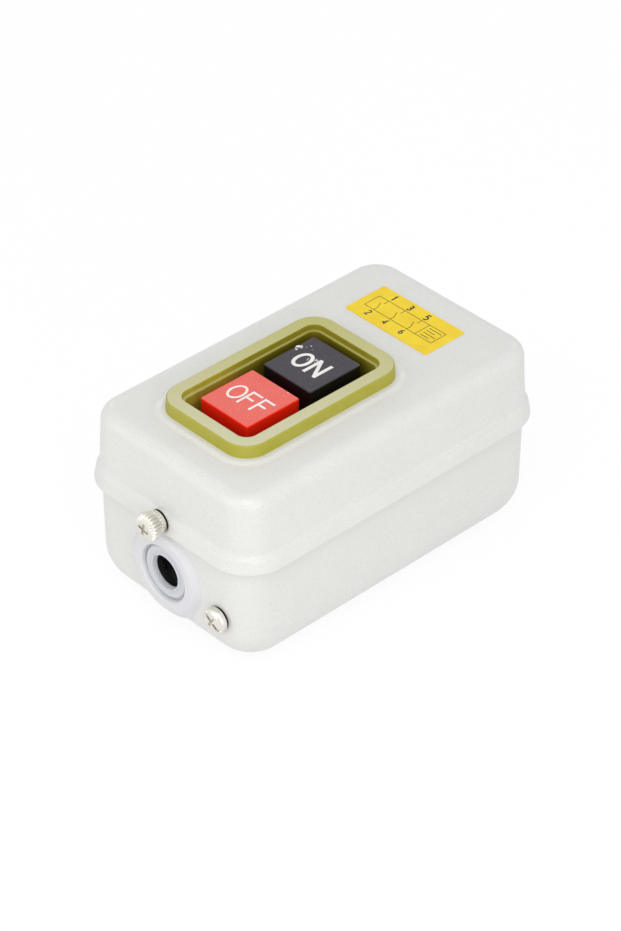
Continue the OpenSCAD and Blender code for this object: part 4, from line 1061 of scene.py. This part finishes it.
def cableLiner(sign, inner, outer):
    # The flange dips between its rim and a thin raised lip round the cable hole
    back, lipFoot = outer - liner["flange"], outer - liner["lip"] - liner["seam"]
    bore, dish, lipWidth, rim = liner["bore"], liner["dish"], liner["lipWidth"], liner["flangeRadius"]
    tread, sleeveBore = liner["lip"] / liner["steps"], liner["neckBore"] + liner["sleeve"]
    profile = []
    for k in range(liner["steps"]):
        radius = bore + liner["stepOut"] * k
        profile += [(radius, lipFoot + tread * k), (radius, lipFoot + tread * (k + 1))]
    profile += [(bore + lipWidth * dishShares["lip"], outer),
                (bore + lipWidth, outer - dish * dishShares["lipFoot"]),
                (bore + lipWidth + liner["dishStart"], outer - dish),
                (rim - liner["rimFlat"], outer - dish * dishShares["rimIn"]),
                (rim - liner["rimEdge"], outer - dish * dishShares["rimOut"]),
                (rim, outer - dish - liner["rimDrop"]), (rim, back), (liner["neckRadius"], back),
                (liner["neckRadius"], inner + liner["innerLipWidth"]),
                (liner["innerLip"], inner + liner["innerLipWidth"]), (liner["innerLip"], inner),
                (sleeveBore, inner), (sleeveBore, lipFoot)]
    return loft(ringsAlongY(profile, 0, entryRise, liner["around"], sign), closed=True)


def linerShadeSleeve(sign, inner, outer):
    front, back = outer - liner["lip"] - liner["sleeveBack"], inner + liner["seam"]
    inside, edge = liner["neckBore"], liner["sleeveEdge"]
    outside = inside + liner["sleeve"] - liner["sleeveGap"]
    profile = [(inside, back), (inside, front - edge), (inside + edge, front), (outside, front),
               (outside, back)]
    return loft(ringsAlongY(profile, 0, entryRise, liner["around"], sign), closed=True)


for label, sign in ends:
    low, high = inMm(label + "_grommet")
    inner, outer = sorted((abs(low.y), abs(high.y)))
    addPiece(label + "CableLiner", cableLiner(sign, inner, outer), materials["grommet_white"], "case",
             [label + "_grommet"])
    # The sleeve is near-black: painted shade in the bore
    addPiece(label + "LinerShadeSleeve", linerShadeSleeve(sign, inner, outer), boreShadeBlack, "case")
print("cable liners made")

# Earth screw: a domed head with a cross and a broad slot, on a washer with cut teeth
earth = {"headRadius": 3.5, "bevel": 0.15, "dome": 1.25, "domeShare": 0.42, "domeSteps": 9,
         "shankRadius": 2.0, "cross": (2.0, 0.8, 1.2), "slot": (4.0, 0.95, 0.75), "turn": 35}
toothed = {"inner": 2.15, "root": 3.2, "teeth": 26, "perTooth": 8, "bevel": 0.08, "lift": 0.02}
washerLow, washerHigh = inMm("earth_washer")


def earthHead():
    shank, head, bevel = earth["shankRadius"], earth["headRadius"], earth["bevel"]
    shankEnd, headHeight = washerLow.y - earthHigh.y, washerLow.y - earthLow.y
    domeStart, flat = headHeight - earth["dome"], earth["domeShare"]
    profile = [(0, shankEnd), (shank, shankEnd), (shank, 0), (head - bevel, 0), (head, bevel),
               (head, domeStart)]
    for i in range(1, earth["domeSteps"]):
        angle = math.pi / 2 * i / earth["domeSteps"]
        radius = head * (flat + (1 - flat) * math.cos(angle))
        profile.append((radius, domeStart + earth["dome"] * math.sin(angle)))
    profile.append((0, headHeight))
    return lathe(profile, (earthX, washerLow.y, earthZ), (0, -1, 0), 64)


def toothedWasher():
    outside, bevel, lift = (washerHigh.x - washerLow.x) / 2, toothed["bevel"], toothed["lift"]
    perTooth, steps = toothed["perTooth"], toothed["teeth"] * toothed["perTooth"]
    rings = []
    for y, edge in ((washerLow.y + lift, bevel), (washerLow.y + lift + bevel, 0.0),
                    (washerHigh.y - bevel, 0.0), (washerHigh.y, bevel)):
        ring = []
        for k in range(steps):
            angle = 2 * math.pi * k / steps
            r = (outside if k % perTooth < perTooth / 2 else toothed["root"]) - edge
            ring.append((earthX + r * math.cos(angle), y, earthZ + r * math.sin(angle)))
        rings.append(ring)
    bore = [(toothed["inner"], washerHigh.y), (toothed["inner"], washerLow.y + lift)]
    return loft(rings + ringsAlongY(bore, earthX, earthZ, steps), closed=True)


earthFace = (earthX, earthLow.y, earthZ)
earthCuts = crossCutters(earthFace, (0, -1, 0), earth["cross"], earth["turn"])
earthCuts += crossCutters(earthFace, (0, -1, 0), earth["slot"], earth["turn"], bars=1)
addPiece("earthScrewHead", carved("earthScrewHead", earthHead(), earthCuts), materials["bright_nickel"],
         "case", ["earth_screw"])
# The washer is painted near-black: painted shade under the head
addPiece("earthToothedWasher", toothedWasher(), shadeBlackSteel, "case", ["earth_washer"])
print("earth screw made")

# Coil springs: each wound from drawn wire, in a mesh of its own
coil = {"perTurn": 24, "wireSides": 10, "flatEnd": 0.75, "flatClimb": 0.25}
springs = {
    "on_return_spring": {"piece": "onReturnSpring", "turns": 7, "wire": 0.8, "joint": "on_press",
                         "travel": 4.0},
    "off_return_spring": {"piece": "offReturnSpring", "turns": 7, "wire": 0.8, "joint": "off_press",
                          "travel": 3.0},
    "latch_spring": {"piece": "latchCoilSpring", "turns": 5, "wire": 0.6, "joint": "latch_swing",
                     "travel": 4.5},
}


def coilSpring(low, high, turns, wire):
    # A wound wire whose first and last turns lie nearly flat
    midX, midY, radius = (low.x + high.x) / 2, (low.y + high.y) / 2, (high.x - low.x - wire) / 2
    steps = coil["perTurn"] * turns
    flat, slow, start, end = coil["flatEnd"], coil["flatClimb"], low.z + wire / 2, high.z - wire / 2
    whole = turns - 2 * flat * (1 - slow)
    path = []
    for i in range(steps + 1):
        turned = turns * i / steps
        ends = min(turned, flat) + max(turned - (turns - flat), 0.0)
        rise = start + (end - start) * (turned - ends * (1 - slow)) / whole
        angle = 2 * math.pi * turned
        path.append(Vector((midX + radius * math.cos(angle), midY + radius * math.sin(angle), rise)))
    around = [2 * math.pi * k / coil["wireSides"] for k in range(coil["wireSides"])]
    loops = []
    for i, point in enumerate(path):
        along = (path[min(i + 1, steps)] - path[max(i - 1, 0)]).normalized()
        outward = Vector((point.x - midX, point.y - midY, 0)).normalized()
        upward = outward.cross(along).normalized()
        loops.append([tuple(point + (outward * math.cos(t) + upward * math.sin(t)) * wire / 2)
                      for t in around])
    return loft(loops, capFirst=True, capLast=True)


for label, spring in springs.items():
    low, high = inMm(label)
    piece = addPiece(spring["piece"], coilSpring(low, high, spring["turns"], spring["wire"]),
                     materials["spring_steel"], "case", [label], sharpAngle=60)
    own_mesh(piece)
print("springs made")

# Floor and backdrop: seen white by the camera and in reflections, and still holding a soft shadow.
# The floor's size is in metres
stageLook = {"floorSize": 6.0, "floorDrop": 0.2, "floorColour": "#EDEDED", "floorRoughness": 0.9,
             "floorGlow": 1.03, "shadowShare": 0.12, "worldStrength": 0.73, "backdropStrength": 1.0}
whiteLight = (1, 1, 1, 1)


def seenAsBackdrop(tree):
    # One for the camera's own rays and those of reflections and clear parts, nought for the rest
    path = addNode(tree, "ShaderNodeLightPath")
    seen = addNode(tree, "ShaderNodeMath", {0: path.outputs["Is Camera Ray"],
                                            1: path.outputs["Is Glossy Ray"]}, operation="MAXIMUM")
    seen = addNode(tree, "ShaderNodeMath", {0: seen.outputs[0], 1: path.outputs["Is Transmission Ray"]},
                   operation="MAXIMUM")
    return seen.outputs[0]


# Pale paper: matt white, its glow standing in for an evenly lit sheet
def paleFloor():
    material, tree, shader, place = newMaterial("pale paper sheet, matt")
    shader.inputs["Base Color"].default_value = colour(stageLook["floorColour"])
    shader.inputs["Roughness"].default_value = stageLook["floorRoughness"]
    share = addNode(tree, "ShaderNodeMath", {0: seenAsBackdrop(tree), 1: 1 - stageLook["shadowShare"]},
                    operation="MULTIPLY")
    glow = addNode(tree, "ShaderNodeEmission", {"Color": whiteLight, "Strength": stageLook["floorGlow"]})
    both = addNode(tree, "ShaderNodeMixShader", {0: share.outputs[0], 1: shader.outputs["BSDF"],
                                                 2: glow.outputs["Emission"]})
    tree.links.new(both.outputs["Shader"], tree.get_output_node("ALL").inputs["Surface"])
    return material


half = stageLook["floorSize"] / 2
floorMesh = bpy.data.meshes.new("studioFloor")
floorMesh.from_pydata([(-half, -half, 0), (half, -half, 0), (half, half, 0), (-half, half, 0)], [],
                      [(0, 1, 2, 3)])
floorMesh.materials.append(paleFloor())
studioFloor = bpy.data.objects.new("studioFloor", floorMesh)
studioFloor.location.z = -stageLook["floorDrop"] * mm
scene.collection.objects.link(studioFloor)

world = bpy.data.worlds.new("studio")
scene.world = world
world.use_nodes = True
worldTree = world.node_tree
worldTree.nodes.clear()
soft = addNode(worldTree, "ShaderNodeBackground", {"Color": whiteLight,
                                                   "Strength": stageLook["worldStrength"]})
white = addNode(worldTree, "ShaderNodeBackground", {"Color": whiteLight,
                                                    "Strength": stageLook["backdropStrength"]})
pick = addNode(worldTree, "ShaderNodeMixShader", {0: seenAsBackdrop(worldTree), 1: soft.outputs[0],
                                                  2: white.outputs[0]})
addNode(worldTree, "ShaderNodeOutputWorld", {"Surface": pick.outputs[0]})

# Soft boxes: place, aim and size in metres, power in watts
softBoxes = {
    "rightBox": {"place": (0.95, -0.35, 0.26), "aim": (0, 0, 0.02), "size": 0.5, "power": 1.75},
    "frontBox": {"place": (-0.3, -0.95, 0.26), "aim": (0, 0, 0.02), "size": 0.5, "power": 1.25},
    "nearBox": {"place": (0.19, -0.2, 0.33), "aim": (0.03, -0.05, 0.05), "size": 0.2, "power": 0.34},
    "farLeftBox": {"place": (-0.85, 0.3, 0.42), "aim": (0, 0, 0.04), "size": 0.16, "power": 0.25},
    "farRightBox": {"place": (-0.28, 0.85, 0.46), "aim": (0, 0, 0.04), "size": 0.16, "power": 0.25},
}
for label, box in softBoxes.items():
    lamp = bpy.data.lights.new(label, "AREA")
    lamp.size = box["size"]
    lamp.energy = box["power"]
    light = bpy.data.objects.new(label, lamp)
    light.location = box["place"]
    aim = Vector(box["aim"]) - Vector(box["place"])
    light.rotation_euler = aim.to_track_quat("-Z", "Y").to_euler()
    scene.collection.objects.link(light)

# Camera: solved from the photograph's edges. The picture's long side is the lens's side
camera = {"azimuth": 46.65, "elevation": 36.89, "distance": 844.85, "target": (-0.58, -0.5, 25.0),
          "focalPixels": 3300.0, "picture": (621, 931), "shiftPixels": (1.6, 2.47), "sensor": 36.0}
azimuth, elevation = math.radians(camera["azimuth"]), math.radians(camera["elevation"])
away = Vector((math.sin(azimuth) * math.cos(elevation), -math.cos(azimuth) * math.cos(elevation),
               math.sin(elevation)))
lens = bpy.data.cameras.new("camera")
lens.sensor_width = camera["sensor"]
lens.lens = camera["focalPixels"] * lens.sensor_width / camera["picture"][1]
lens.shift_x = -camera["shiftPixels"][0] / camera["picture"][1]
lens.shift_y = -camera["shiftPixels"][1] / camera["picture"][1]
lens.clip_start = 0.01
cameraObject = bpy.data.objects.new("camera", lens)
cameraObject.location = (Vector(camera["target"]) + away * camera["distance"]) * mm
cameraObject.rotation_euler = (-away).to_track_quat("-Z", "Y").to_euler()
scene.collection.objects.link(cameraObject)
scene.camera = cameraObject
scene.view_settings.view_transform = "Standard"
print("stage, lights and camera made")
